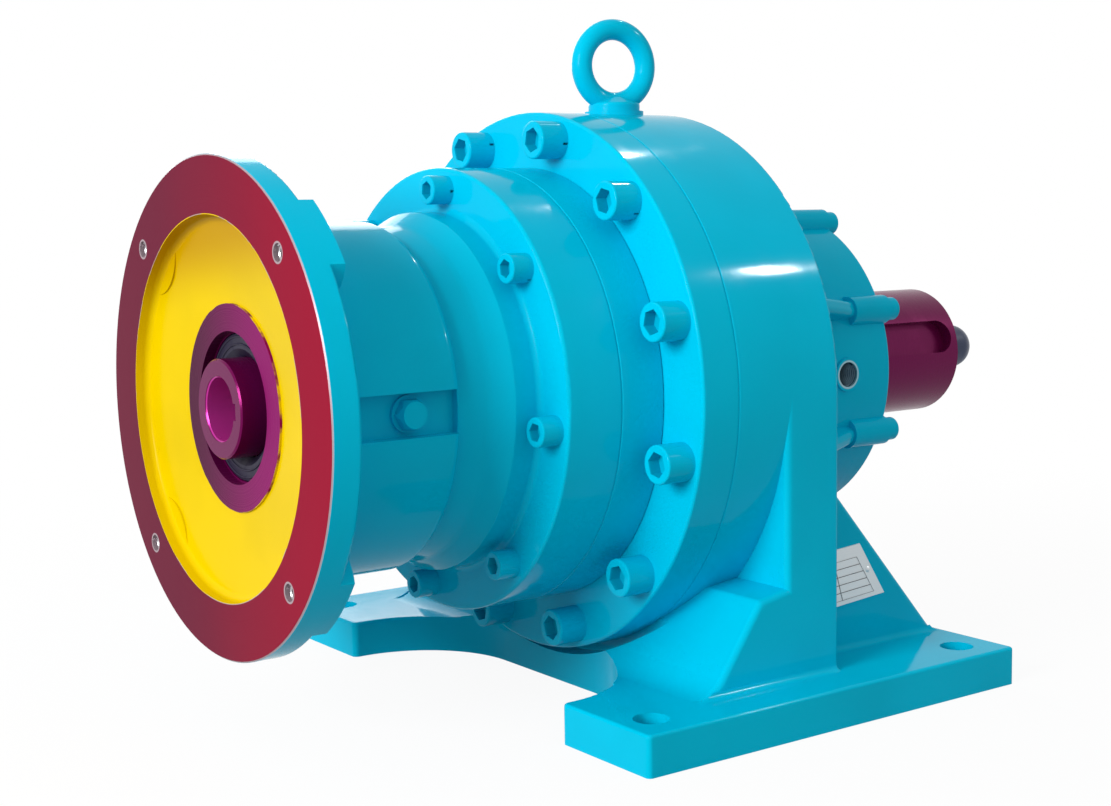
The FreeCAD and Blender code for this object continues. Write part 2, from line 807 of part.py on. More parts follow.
def carrier_2():
    """Plate with overhung planet pins and a keyed hub on the output shaft."""
    plate_end = x_carrier_2 + carrier_2_plate
    bore_r = carrier_seat_dia / 2 + seat_clearance
    body = turned([
        (x_carrier_2, bore_r), (x_shaft_collar, bore_r), (x_shaft_collar, carrier_2_hub_dia / 2, -edge_break),
        (plate_end, carrier_2_hub_dia / 2), (plate_end, carrier_2_dia / 2, -edge_break),
        (x_carrier_2, carrier_2_dia / 2, -edge_break)])
    hole = rod(x_carrier_2, plate_end, pin_2_dia + 2 * seat_clearance)
    return body.cut(on_planets(hole, centre_2) + [hub_key(seat_clearance)])


def hub_key(extra):
    """Key between the second carrier and the output shaft."""
    bottom = carrier_seat_dia / 2 - hub_key_depth
    return Part.makeBox(
        hub_key_length + 2 * extra, hub_key_width + 2 * extra, hub_key_height + 2 * extra,
        Vector(x_carrier_2 + hub_key_inset - extra, -hub_key_width / 2 - extra, bottom - extra))


# Shafts


def input_shaft():
    """Hollow shaft for the motor's keyed shaft end, ending in the first sun's seat."""
    start = x_input_shaft
    shaft_r = input_shaft_dia / 2
    bore_r = motor_shaft_dia / 2
    bore_end = start + motor_shaft_bore_depth
    seat = x_ring_1 + planet_end_gap
    tip = x_mid + side_gap
    land_end = x_circlip + 3 * lock_ring_width
    body = turned([
        (start, bore_r, -edge_break), (start, shaft_r, -edge_break), (land_end, shaft_r, -edge_break),
        (land_end, input_waist_dia / 2), (seat, input_waist_dia / 2, -edge_break),
        (seat, sun_1_seat_dia / 2), (tip, sun_1_seat_dia / 2, -edge_break), (tip, 0), (bore_end, 0),
        (bore_end, bore_r)])
    groove = ring(
        x_circlip - seat_clearance, x_circlip + lock_ring_width + seat_clearance, input_bearing_dia,
        input_shaft_dia - lock_ring_width)
    keyway = Part.makeBox(
        motor_shaft_bore_depth, motor_key_width, bore_r + motor_key_rise,
        Vector(start, -motor_key_width / 2, 0))
    keyway.rotate(Vector(0, 0, 0), Vector(1, 0, 0), motor_key_turn)
    return body.cut([groove, keyway])


def output_shaft():
    """Solid output shaft: carrier seat, collar, bearing seats, seal land and keyed end."""
    inner = x_carrier_2 + side_gap
    carrier_r = carrier_seat_dia / 2
    seat_r = bearing_seat_dia / 2
    land_r = seal_land_dia / 2
    shaft_r = shaft_dia / 2
    land_end = x_hub_end + edge_round
    lock_end = x_cover + lock_ring_width
    body = turned([
        (inner, 0), (inner, carrier_r, -edge_break), (x_shaft_collar, carrier_r),
        (x_shaft_collar, shaft_collar_dia / 2), (x_bearing_front, shaft_collar_dia / 2),
        (x_bearing_front, seat_r), (lock_end + side_gap, seat_r), (lock_end + side_gap, land_r),
        (land_end, land_r, -edge_break), (land_end, shaft_r), (x_shaft_end, shaft_r, -edge_round),
        (x_shaft_end, 0)])
    groove = ring(
        x_cover - seat_clearance, lock_end + seat_clearance, output_bearing_dia,
        bearing_seat_dia - lock_ring_width)
    half = keyway_width / 2
    end = x_shaft_end - keyway_end_gap
    slot = plate_z([
        (end - keyway_length, -half, half), (end, -half, half), (end, half, half),
        (end - keyway_length, half, half)], shaft_r - keyway_depth, shaft_r + keyway_depth)
    slot.rotate(Vector(0, 0, 0), Vector(1, 0, 0), 90.0 - keyway_angle)
    tapped = rod(
        x_shaft_end - nose_thread_length - nose_thread_room, x_shaft_end,
        nose_thread_dia + 2 * seat_clearance)
    return body.cut([groove, slot, hub_key(seat_clearance), tapped])


def shaft_end_plug():
    """Round-nosed plug screwed into the shaft's centre hole."""
    nose_r = nose_dia / 2
    thread_r = nose_thread_dia / 2
    tip = x_shaft_end + nose_reach
    start = x_shaft_end - nose_thread_length
    return turned([
        (start, 0), (start, thread_r, -edge_break), (x_shaft_end, thread_r), (x_shaft_end, nose_r),
        (tip, nose_r, nose_round), (tip, 0)])


# Rolling bearings and seals


def bearing(name, x0, width, bore, outer_dia, rollers):
    """Cylindrical roller bearing as three nodes: outer ring, inner ring and the set of rollers."""
    pitch = (bore + outer_dia) / 4
    roller_dia = (outer_dia - bore) / 4
    inner_race = pitch - roller_dia / 2 - roller_clearance
    outer_race = pitch + roller_dia / 2 + roller_clearance
    bore_r = bore / 2 + seat_clearance
    outer_r = outer_dia / 2 - seat_clearance
    x1 = x0 + width
    track_0 = x0 + race_flange
    track_1 = x1 - race_flange
    lip_r = outer_race - race_lip
    keep(name + "_outer", turned([
        (x0, outer_r, -edge_break), (x0, lip_r), (track_0, lip_r), (track_0, outer_race),
        (track_1, outer_race), (track_1, lip_r), (x1, lip_r), (x1, outer_r, -edge_break)]))
    keep(name + "_inner", turned([
        (x0, bore_r, -edge_break), (x0, inner_race), (x1, inner_race), (x1, bore_r, -edge_break)]))
    roller = rod(track_0 + roller_clearance, track_1 - roller_clearance, roller_dia)
    keep(name + "_rollers", *circle_of(roller, rollers, 2 * pitch, 0.0))


def lip_seal(x0, width, outer_dia, shaft):
    """Radial shaft seal with a tapered lip."""
    outer_r = outer_dia / 2 - seat_clearance
    lip_r = shaft / 2 + lip_clearance
    wall = (outer_r - lip_r) / 3
    x1 = x0 + width
    return turned([
        (x0, outer_r, -edge_break), (x0, lip_r + wall), (x0 + width / 3, lip_r), (x0 + width / 2, lip_r),
        (x1 - wall / 2, lip_r + wall), (x0 + wall, lip_r + wall * 3 / 2), (x0 + wall, outer_r - wall),
        (x1, outer_r - wall), (x1, outer_r, -edge_break)])


def circlip(x0, outer_dia, inner_dia):
    """Spring ring with a gap at the bottom."""
    clip = ring(x0, x0 + lock_ring_width, outer_dia, inner_dia)
    gap = Part.makeBox(
        lock_ring_width, lock_ring_opening, outer_dia, Vector(x0, -lock_ring_opening / 2, -outer_dia))
    return clip.cut(gap)


# Output housing


def foot_plate():
    """Base plate with a deep round-cornered notch at the motor end and four bolt holes."""
    half = foot_half_width
    notch = notch_half_width
    plate = plate_z([
        (foot_rear, -half, foot_corner), (foot_rear, half, foot_corner), (foot_front, half, foot_corner),
        (foot_front, notch, cast_round), (notch_end, notch, notch_corner), (notch_end, -notch, notch_corner),
        (foot_front, -notch, cast_round), (foot_front, -half, foot_corner)], -axis_height, foot_top)
    rim = [edge for edge in plate.Edges if all(abs(v.Z - foot_top) < same_place for v in edge.Vertexes)]
    plate = plate.makeFillet(edge_round, rim)
    holes = []
    for x in (-foot_hole_x / 2, foot_hole_x / 2):
        for y in (-foot_hole_y / 2, foot_hole_y / 2):
            holes.append(Part.makeCylinder(foot_hole_dia / 2, foot_thickness, Vector(x, y, -axis_height)))
    return plate.cut(holes)


def tombstone():
    """Rear stretch of the barrel, whose round top runs down into straight side walls."""
    x0 = x_rear - pillar_thickness
    crown = Part.Arc(Vector(x0, -barrel_r, 0), Vector(x0, 0, barrel_r), Vector(x0, barrel_r, 0)).toShape()
    corners = [Vector(x0, barrel_r, 0), Vector(x0, barrel_r, foot_middle),
               Vector(x0, -barrel_r, foot_middle), Vector(x0, -barrel_r, 0)]
    sides = [Part.LineSegment(a, b).toShape() for a, b in zip(corners, corners[1:])]
    wall = Part.Face(Part.Wire([crown] + sides)).extrude(Vector(pillar_thickness, 0, 0))
    for x, size in ((x0, cast_round), (x_rear, edge_round)):
        end = [edge for edge in wall.Edges if all(abs(v.X - x) < same_place for v in edge.Vertexes)]
        rim = [edge for edge in end if edge.BoundBox.ZLength > foot_thickness]
        wall = wall.makeFillet(size, rim)
    return wall


def foot_and_wall():
    """Foot with the tombstone on it and a round in the corner between them."""
    body = foot_plate().fuse(tombstone()).removeSplitter()
    seams = []
    for edge in body.Edges:
        flat = all(abs(v.Z - foot_top) < same_place for v in edge.Vertexes)
        if flat and any(face.CenterOfMass.z > foot_top for face in body.ancestorsOfType(edge, Part.Face)):
            seams.append(edge)
    return body.makeFillet(cast_round, seams)


def foot_cove(y, way, x0, x1):
    """Concave corner piece along a wall's foot at y, on the wall's side that way points to."""
    return plate_x([
        (y, foot_middle), (y + way, foot_middle), (y + way, foot_top), (y, foot_top, cast_round),
        (y, foot_top + cast_round)], x0, x1)


def saddle():
    """Sloping block under the barrel, which runs out on the foot in a flare and leaves the notch open."""
    start = x_rear - gusset_base
    flare_start = start - gusset_flare
    end = x_rear - pillar_thickness + 2 * cast_round
    top = foot_top + gusset_height
    outline = [
        (flare_start, foot_middle), (flare_start, foot_top), (start, foot_top, gusset_flare),
        (x_rear - gusset_top, top, cast_round), (x_rear - pillar_thickness, top + gusset_rise),
        (end, top + gusset_rise), (end, foot_middle)]
    block = plate_y(outline, -barrel_r, barrel_r)
    rims = []
    for edge in block.Edges:
        box = edge.BoundBox
        if box.ZMin > foot_top - cast_round and box.XLength > cast_round / 2 and box.YLength < cast_round:
            rims.append(edge)
    block = block.makeFillet(cast_round, rims)
    under_slope = plate_y(outline, -foot_half_width, foot_half_width)
    coves = []
    for side in (-1, 1):
        cove = foot_cove(side * barrel_r, side * cast_round, flare_start, end)
        coves.append(cove.common(under_slope))
    notch = plate_z([
        (foot_front, -notch_half_width), (notch_end, -notch_half_width, notch_corner),
        (notch_end, notch_half_width, notch_corner), (foot_front, notch_half_width)], -axis_height, top)
    return [block.cut(notch)] + coves


def slanted_edges(shape):
    """Edges of a plate that run along none of the three axes."""
    found = []
    for edge in shape.Edges:
        box = edge.BoundBox
        if sum(length > cast_round for length in (box.XLength, box.YLength, box.ZLength)) > 1:
            found.append(edge)
    return found


def rear_webs():
    """Slanted webs under the hub's flanks, with coves along their feet and roots."""
    start = x_rear - cast_round
    end = foot_rear - web_rear_gap
    flare_end = end + web_flare / 2
    outline = [
        (start, foot_middle), (flare_end, foot_middle), (flare_end, foot_top), (end, foot_top, web_flare),
        (x_rear, -web_top), (start, -web_top)]
    under_slope = plate_y(outline, -barrel_r, barrel_r)
    solids = []
    for side in (-1, 1):
        faces = sorted([side * (web_face_y - web_thickness), side * web_face_y])
        web = plate_y(outline, *faces)
        solids.append(web.makeFillet(cast_round, slanted_edges(web)))
        for y, way in zip(faces, (-cast_round, cast_round)):
            root = plate_z([
                (start, y), (start, y + way), (x_rear, y + way), (x_rear, y, cast_round),
                (x_rear + cast_round, y)], foot_middle, -web_top)
            solids.append(foot_cove(y, way, start, flare_end).common(under_slope))
            solids.append(root.common(under_slope))
    return solids


def hub_rib():
    """Tapering rib from the rear wall to the hub's end, on the +Y side."""
    inside = hub_r - 3 * cast_round
    start = x_rear - cast_round
    end = x_hub_end - rib_end_gap
    rib = plate_z([
        (start, inside), (start, hub_r + rib_height), (x_rear, hub_r + rib_height),
        (end, hub_r + edge_round), (end, inside)], -rib_thickness / 2, rib_thickness / 2)
    return rib.makeFillet(cast_round, slanted_edges(rib))


def output_housing():
    """Foot casting with the barrel, the ribbed hub and the foot in one piece."""
    barrel_end = x_rear - pillar_thickness + 2 * cast_round
    barrel = turned([
        (x_barrel, 0), (x_barrel, barrel_r, -joint_break), (barrel_end, barrel_r), (barrel_end, 0)])
    hub = turned([
        (x_rear - rear_wall, 0), (x_rear - rear_wall, hub_r + cast_round), (x_rear, hub_r + cast_round),
        (x_rear, hub_r, cast_round), (x_cover, hub_r), (x_cover, 0)])
    lug = rod(x_cover - lug_length, x_cover, lug_dia)
    port_axis = Vector(0, -1, 0)
    port_x = x_hub_end - port_from_end
    port_rim = Part.makeCylinder(
        port_rim_dia / 2, hub_wall + port_rim_rise, Vector(port_x, -output_bearing_dia / 2, 0), port_axis)
    eye_seat = Part.makeCylinder(
        eye_seat_dia / 2, barrel_r - ring_2_dia / 2 + eye_seat_rise,
        Vector(x_rear - eye_from_rear, 0, ring_2_dia / 2))
    flange_room = rod(foot_front, x_barrel, 2 * barrel_r + 2 * cradle_clearance)
    body = foot_and_wall().fuse(saddle()).cut(flange_room)
    body = body.fuse([barrel, hub, port_rim, eye_seat] + rear_webs())
    body = body.fuse(around(hub_rib(), hub_ribs, 180.0 - cover_screw_turn) + cover_circle(lug))
    carrier_r = carrier_2_dia / 2 + carrier_2_room
    cavity = turned([
        (x_barrel, 0), (x_barrel, ring_2_dia / 2), (x_barrel + ring_2_width, ring_2_dia / 2),
        (x_barrel + ring_2_width, carrier_r), (x_rear - rear_wall, carrier_r),
        (x_rear - rear_wall, throat_dia / 2), (x_bearing_front, throat_dia / 2),
        (x_bearing_front, output_bearing_dia / 2), (x_cover, output_bearing_dia / 2), (x_cover, 0)])
    big = rod(x_barrel, x_barrel + big_grip + big_thread / 4, big_thread + 2 * seat_clearance)
    cover_hole = rod(x_cover - cover_grip - cover_thread / 4, x_cover, cover_thread + 2 * seat_clearance)
    port = Part.makeCylinder(port_dia / 2, hub_r + port_rim_rise, Vector(port_x, 0, 0), port_axis)
    eye_hole = Part.makeCylinder(
        eye_thread / 2 + seat_clearance, eye_thread_length + eye_thread / 8,
        Vector(x_rear - eye_from_rear, 0, barrel_r + eye_seat_rise), Vector(0, 0, -1))
    tools = [cavity, port, eye_hole]
    tools += big_circle(big)
    tools += cover_circle(cover_hole)
    tools += plate_rivets(seat_clearance)
    return body.cut(tools).removeSplitter()


def output_cover():
    """End cover with a lug at each screw and the seal's seat."""
    seal_r = output_seal_dia / 2
    seal_start = x_hub_end - output_seal_width
    body = turned([
        (x_cover, seal_r), (x_hub_end, seal_r), (x_hub_end, hub_r, edge_round), (x_cover, hub_r)])
    lug = rod(x_cover, x_hub_end, lug_dia)
    body = body.fuse(cover_circle(lug)).removeSplitter()
    stop = ring(seal_start - seal_stop, seal_start, output_bearing_dia, lock_ring_dia + 2 * lock_ring_room)
    hole = rod(x_cover, x_hub_end, cover_thread + 2 * bolt_clearance)
    return body.fuse(stop).cut(cover_circle(hole)).removeSplitter()


# Eye bolt and name plate


def eye_bolt():
    """Lifting eye: ring, waisted foot, round collar and shank."""
    seat = barrel_r + eye_seat_rise
    section_r = (eye_outer_dia - eye_hole_dia) / 4
    centre_r = (eye_outer_dia + eye_hole_dia) / 4
    centre_z = seat + eye_height - eye_outer_dia / 2
    neck_top = centre_z - centre_r + section_r / 2
    collar_r = eye_collar_dia / 2
    eye = Part.makeTorus(centre_r, section_r, Vector(0, 0, centre_z), Vector(0, 1, 0))
    wire = rounded_wire([
        (0, seat), (collar_r, seat), (collar_r, seat + eye_collar, edge_round),
        (collar_r - edge_round, seat + eye_collar), (section_r, neck_top), (0, neck_top)],
        lambda p: Vector(p.x, 0, p.y))
    foot = Part.Face(wire).revolve(Vector(0, 0, 0), Vector(0, 0, 1), 360)
    shank = Part.makeCylinder(eye_thread / 2, eye_thread_length, Vector(0, 0, seat - eye_thread_length))
    bolt = eye.fuse([foot, shank]).removeSplitter()
    bolt.rotate(Vector(0, 0, 0), Vector(0, 0, 1), -eye_turn)
    bolt.translate(Vector(x_rear - eye_from_rear, 0, 0))
    return bolt


def on_plate(along, up):
    """Point (x, z) at a distance along and above the name plate's lower edge."""
    turn = math.radians(plate_tilt)
    x = x_rear + plate_from_wall + along * math.cos(turn) - up * math.sin(turn)
    z = foot_top + plate_from_foot + along * math.sin(turn) + up * math.cos(turn)
    return x, z


def rivet_places():
    """Centres of the rivets as (x, z), at mid-height of the plate's two ends."""
    middle = plate_height / 2
    far = (plate_bottom_length + plate_top_length) / 2
    return [on_plate(rivet_inset, middle), on_plate(far - rivet_inset, middle)]


def name_plate():
    """Blank sheet on the near web's outer face."""
    corners = [
        on_plate(0, 0), on_plate(plate_bottom_length, 0), on_plate(plate_top_length, plate_height),
        on_plate(0, plate_height)]
    sheet = plate_y(corners, -web_face_y - plate_thickness, -web_face_y)
    holes = [Part.makeCylinder(
        rivet_dia / 2 + seat_clearance, plate_thickness, Vector(x, -web_face_y, z), Vector(0, -1, 0))
        for x, z in rivet_places()]
    return sheet.cut(holes)


def plate_rivets(extra=0.0):
    """Round-headed rivets through the plate into the web; extra makes their holes."""
    dome_r = (rivet_head_dia ** 2 / 4 + rivet_head ** 2) / (2 * rivet_head)
    sink = dome_r - rivet_head
    rim = math.degrees(math.asin(sink / dome_r))
    rivets = []
    for x, z in rivet_places():
        seat = Vector(x, -web_face_y - plate_thickness, z)
        shank = Part.makeCylinder(
            rivet_dia / 2 + extra, rivet_grip + plate_thickness + extra, seat, Vector(0, 1, 0))
        head = Part.makeSphere(dome_r, seat + Vector(0, sink, 0), Vector(0, -1, 0), rim, 90, 360)
        rivets.append(shank if extra else shank.fuse(head).removeSplitter())
    return rivets


# The assembly


def build_housing():
    """Castings and the pieces fixed to them."""
    keep("motor_adapter", motor_adapter())
    keep("neck_plugs", *around(neck_plug(), 2))
    keep("ring_gear_1", ring_gear_1())
    keep("middle_flange", middle_flange())
    keep("ring_gear_2", ring_gear_2())
    keep("ring_2_pins", *ring_2_pin_circle(0.0))
    keep("output_housing", output_housing())
    keep("output_cover", output_cover())
    keep("output_seal", lip_seal(
        x_hub_end - output_seal_width, output_seal_width, output_seal_dia, seal_land_dia))
    keep("input_seal", lip_seal(x_input_seal, input_seal_width, input_seal_dia, input_shaft_dia))
    clip_outer = input_bearing_dia + 2 * lock_ring_width - 2 * seat_clearance
    keep("bearing_circlip", circlip(x_circlip, clip_outer, input_bearing_dia - 2 * lock_ring_width))
    keep("eye_bolt", eye_bolt())
    keep("name_plate", name_plate())
    keep("name_plate_rivets", *plate_rivets())


def build_fasteners():
    """Screws and spring washers of the two flanges, and the cover's screws."""
    small_length = small_washer + small_flange_width + ring_1_width + small_grip
    small = socket_screw(x_small_flange - small_washer, small_thread, small_head, small_key, small_length)
    keep("adapter_screws", *small_circle(small))
    small_split = spring_washer(x_small_flange, small_washer, small_head, small_thread)
    keep("adapter_washers", *small_circle(small_split))
    big_length = big_washer + x_barrel - x_mid + big_grip
    big = socket_screw(x_mid - big_washer, big_thread, big_head, big_key, big_length)
    keep("flange_screws", *big_circle(big))
    big_split = spring_washer(x_mid, big_washer, big_head, big_thread)
    keep("flange_washers", *big_circle(big_split))
    cover = socket_screw(x_hub_end, cover_thread, cover_head, cover_key, cover_thickness + cover_grip, -1)
    keep("cover_screws", *cover_circle(cover))


def build_bearings():
    """Roller bearings of the three shafts."""
    for name, x in (("input_bearing_front", x_input_front), ("input_bearing_rear", x_input_rear)):
        bearing(name, x, input_bearing_width, input_shaft_dia, input_bearing_dia, input_rollers)
    bearing("carrier_bearing", x_carrier_bearing, carrier_1_bearing_width,
            carrier_1_journal_dia, carrier_1_bearing_dia, carrier_1_rollers)
    bearing("output_bearing_front", x_bearing_front, output_bearing_front, bearing_seat_dia,
            output_bearing_dia, output_rollers)
    bearing("output_bearing_rear", x_bearing_rear, output_bearing_rear, bearing_seat_dia,
            output_bearing_dia, output_rollers)


def build_train():
    """Shafts, carriers and gears, from the motor to the output."""
    gear_1 = (x_ring_1 + planet_end_gap, x_mid - planet_end_gap)
    gear_2 = (x_barrel + 2 * planet_end_gap, x_barrel + ring_2_width - planet_end_gap)
    keep("input_shaft", input_shaft())
    keep("input_spacer", ring(
        x_input_front + input_bearing_width, x_input_rear, input_spacer_dia,
        input_shaft_dia + 2 * seat_clearance))
    clip_inner = input_shaft_dia - lock_ring_width + seat_clearance
    keep("shaft_circlip", circlip(x_circlip, input_shaft_dia + 2 * lock_ring_width, clip_inner))
    keep("sun_gear_1", sun_gear(stage_1_sun, stage_1_module, *gear_1, sun_1_seat_dia))
    keep("carrier_1", carrier_1())
    pin_1 = rod(x_carrier_1, x_carrier_1_end, pin_1_dia)
    keep("carrier_1_pins", *on_planets(pin_1, centre_1))
    keep("sun_gear_2", sun_gear(stage_2_sun, stage_2_module, *gear_2, sun_2_seat_dia))
    keep("carrier_2", carrier_2())
    pin_2 = rod(gear_2[0], x_carrier_2 + carrier_2_plate, pin_2_dia)
    keep("carrier_2_pins", *on_planets(pin_2, centre_2))
    keep("carrier_key", hub_key(0.0))
    keep("output_shaft", output_shaft())
    keep("bearing_spacer", ring(
        x_bearing_front + output_bearing_front, x_bearing_rear, spacer_dia,
        bearing_seat_dia + 2 * seat_clearance))
    keep("shaft_lock_ring", circlip(
        x_cover, lock_ring_dia, bearing_seat_dia - lock_ring_width + seat_clearance))
    keep("shaft_end_plug", shaft_end_plug())
    for i in range(planets):
        letter = chr(ord("a") + i)
        keep("planet_1" + letter, planet_gear(
            i, stage_1_sun, stage_1_planet, stage_1_module, centre_1, *gear_1, bush_1_dia))
        keep("planet_1" + letter + "_bush", planet_bush(i, centre_1, *gear_1, bush_1_dia, pin_1_dia))
        keep("planet_2" + letter, planet_gear(
            i, stage_2_sun, stage_2_planet, stage_2_module, centre_2, *gear_2, bush_2_dia))
        keep("planet_2" + letter + "_bush", planet_bush(i, centre_2, *gear_2, bush_2_dia, pin_2_dia))


build_housing()
build_fasteners()
build_bearings()
build_train()
os.makedirs("parts", exist_ok=True)
for name, shape in parts.items():
    shape.exportStep("parts/" + name + ".step")
    print(name, len(shape.Solids), "solids, valid", shape.isValid(), "volume", round(shape.Volume))
print(len(parts), "nodes")
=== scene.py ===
import json
import math
from functools import cached_property

import bmesh
import bpy
from mathutils import Matrix, Vector


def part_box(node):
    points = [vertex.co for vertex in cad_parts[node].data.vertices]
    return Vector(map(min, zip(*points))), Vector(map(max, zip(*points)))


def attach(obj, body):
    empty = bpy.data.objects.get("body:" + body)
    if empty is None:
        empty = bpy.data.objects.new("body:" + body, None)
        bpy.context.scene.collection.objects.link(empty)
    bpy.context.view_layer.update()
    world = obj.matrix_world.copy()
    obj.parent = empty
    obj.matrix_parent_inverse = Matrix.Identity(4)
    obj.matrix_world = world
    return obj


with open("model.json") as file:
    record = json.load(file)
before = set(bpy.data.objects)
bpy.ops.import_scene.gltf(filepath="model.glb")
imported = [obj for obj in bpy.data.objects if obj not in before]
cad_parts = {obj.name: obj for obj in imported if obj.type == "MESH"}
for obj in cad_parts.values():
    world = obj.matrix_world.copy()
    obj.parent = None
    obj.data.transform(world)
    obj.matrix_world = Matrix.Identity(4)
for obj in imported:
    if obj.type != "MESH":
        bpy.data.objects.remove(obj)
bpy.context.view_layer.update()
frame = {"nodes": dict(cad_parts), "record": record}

bl_info = {
    "name": "Planetary Gear Unit",
    "version": (1, 0, 0),
    "blender": (4, 5, 0),
    "location": "3D View > Sidebar > Gear Unit",
    "description": "Finishes and fittings of a foot-mounted planetary gear unit",
    "category": "Object",
}

# Places and sizes taken from the frame, in metres
MM = 1000.0
NODES = frame["nodes"]
MOUNTS = {mount["name"]: mount for mount in frame["record"]["mounts"]}
SLOTS = {part["node"]: part["material_slot"] for part in frame["record"]["subparts"]}
AXIS_Z = MOUNTS["output_shaft"]["pos_m"][2]
MOTOR_X = MOUNTS["motor_face"]["pos_m"][0]
HOLE_REACH = MOUNTS["motor_flange_bolts"]["dims"]["pcd_mm"] / 2.0 / MM * math.sqrt(0.5)
HOLE_RADIUS = MOUNTS["motor_flange_bolts"]["dims"]["hole_r_mm"] / MM
PORT = Vector(MOUNTS["oil_port"]["pos_m"])
PORT_RADIUS = MOUNTS["oil_port"]["dims"]["r_mm"] / MM
PORT_MOUTH = PORT.y - MOUNTS["oil_port"]["dims"]["length_mm"] / 2.0 / MM
SEAL_LOW, SEAL_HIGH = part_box("input_seal")
PLATE_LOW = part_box("name_plate")[0]

# Radii taken from the frame, in millimetres
SPIGOT_R = MOUNTS["motor_spigot"]["dims"]["r_mm"]
MOTOR_BORE_R = MOUNTS["motor_shaft_bore"]["dims"]["r_mm"]

# How far the motor end's finishes reach behind the motor face, in millimetres
FACE_DEPTH = 0.1
EDGE_DEPTH = 0.8
RIM_DEPTH = 0.9
DISH_DEPTH = 16.2
HOLE_DEPTH = 25.0
HUB_DEPTH = 50.0

# Where its other borders lie, in millimetres: widths of rims, the hub's radius and the heights above the
# shaft axis between which the dish grows darker with painted shade towards its top
RIM_WIDTH = 0.4
HOLE_RIM = 1.0
HUB_R = 62.3
PAINTED_SHADE_LOW, PAINTED_SHADE_HIGH = 60.0, 105.0

# The oil port's finish in the same way, in millimetres from the port's edge and mouth
PORT_RIM_WIDTH = 1.1
PORT_RIM_DEPTH = 1.2
PORT_DEPTH = 15.0

# Screws in a circle, and the radius in millimetres within which a socket lies
SCREWS = {"adapter_screws": (8, 6.4), "flange_screws": (12, 8.6)}

# Colours of the plain finishes
BARE_METAL = (0.36, 0.28, 0.31)
# Painted shade: the dark inside of the oil port
PORT_PAINTED_SHADE = (0.0, 0.05, 0.09)
PORT_RIM = (0.34, 0.56, 0.63)
# Painted shade: the oil port's thread darker than the other threads, as the shade in the hole
PORT_THREAD_SHADE = (0.06, 0.1, 0.13)
THREAD_STEEL = (0.5, 0.5, 0.52)
GEAR_STEEL = (0.42, 0.42, 0.44)
BEARING_STEEL = (0.6, 0.6, 0.62)
BRONZE = (0.6, 0.38, 0.14)
RUBBER = (0.012, 0.01, 0.028)
PLATE = (0.76, 0.79, 0.8)
PLATE_MARKS = (0.66, 0.7, 0.72)
INK = (0.09, 0.1, 0.11)
INK_WORN = (0.2, 0.21, 0.22)
WHITE = (1.0, 1.0, 1.0)
FLOOR_WHITE = (0.9, 0.9, 0.9)
FLOOR_BOUNCE = (0.4, 0.4, 0.4)

# Heights of the relief in the plain finishes, in metres
LACQUER_RELIEF = 0.000001
STEEL_RELIEF = 0.000003
BRUSH_RELIEF = 0.000005
PLUG_RELIEF = 0.00001
RUBBER_RELIEF = 0.00003

# A thread's section as shares of its pitch: how far it goes into the wall and stands out, and its width
THREAD_SINK = 0.05
THREAD_RISE = 0.35
THREAD_WIDTH = 0.8
THREAD_STEPS = 24

# The seal's beads: the first one's distance from the seal's edge and the distance between beads, in metres
BEAD_INSET = 0.0025
BEAD_GAP = 0.0045
BEAD_SEGMENTS = 12
BEAD_STEPS = 96

# The plate's field lines: margins and height in metres, and the places of the columns as shares of a row
PLATE_SIDE = 0.008
PLATE_EDGE = 0.003
PLATE_COLUMNS = (0.0, 0.4, 1.0)
LINE_HEIGHT = 0.0001

# Vertices nearer than this are one, in metres, and edges sharper than this are not smoothed
MERGE = 0.000001
SHARP = math.radians(40.0)

# Share of plain white that covers the floor's shadow
FLOOR_VEIL = 0.93

# Lights: place and size in metres, power in watts, and whether it only shows in reflections
LAMPS = {
    "key_light": ((-2.3, -0.55, 0.95), (0.9, 0.9), 50.0, False),
    "upper_glint": ((1.1, 0.5, 1.8), (0.05, 0.08), 14.0, True),
    "lower_glint": ((1.24, -1.08, 1.28), (0.05, 0.08), 14.0, True),
    "rear_light": ((0.6, 2.0, 1.0), (1.0, 1.0), 12.0, False),
}


# Settings


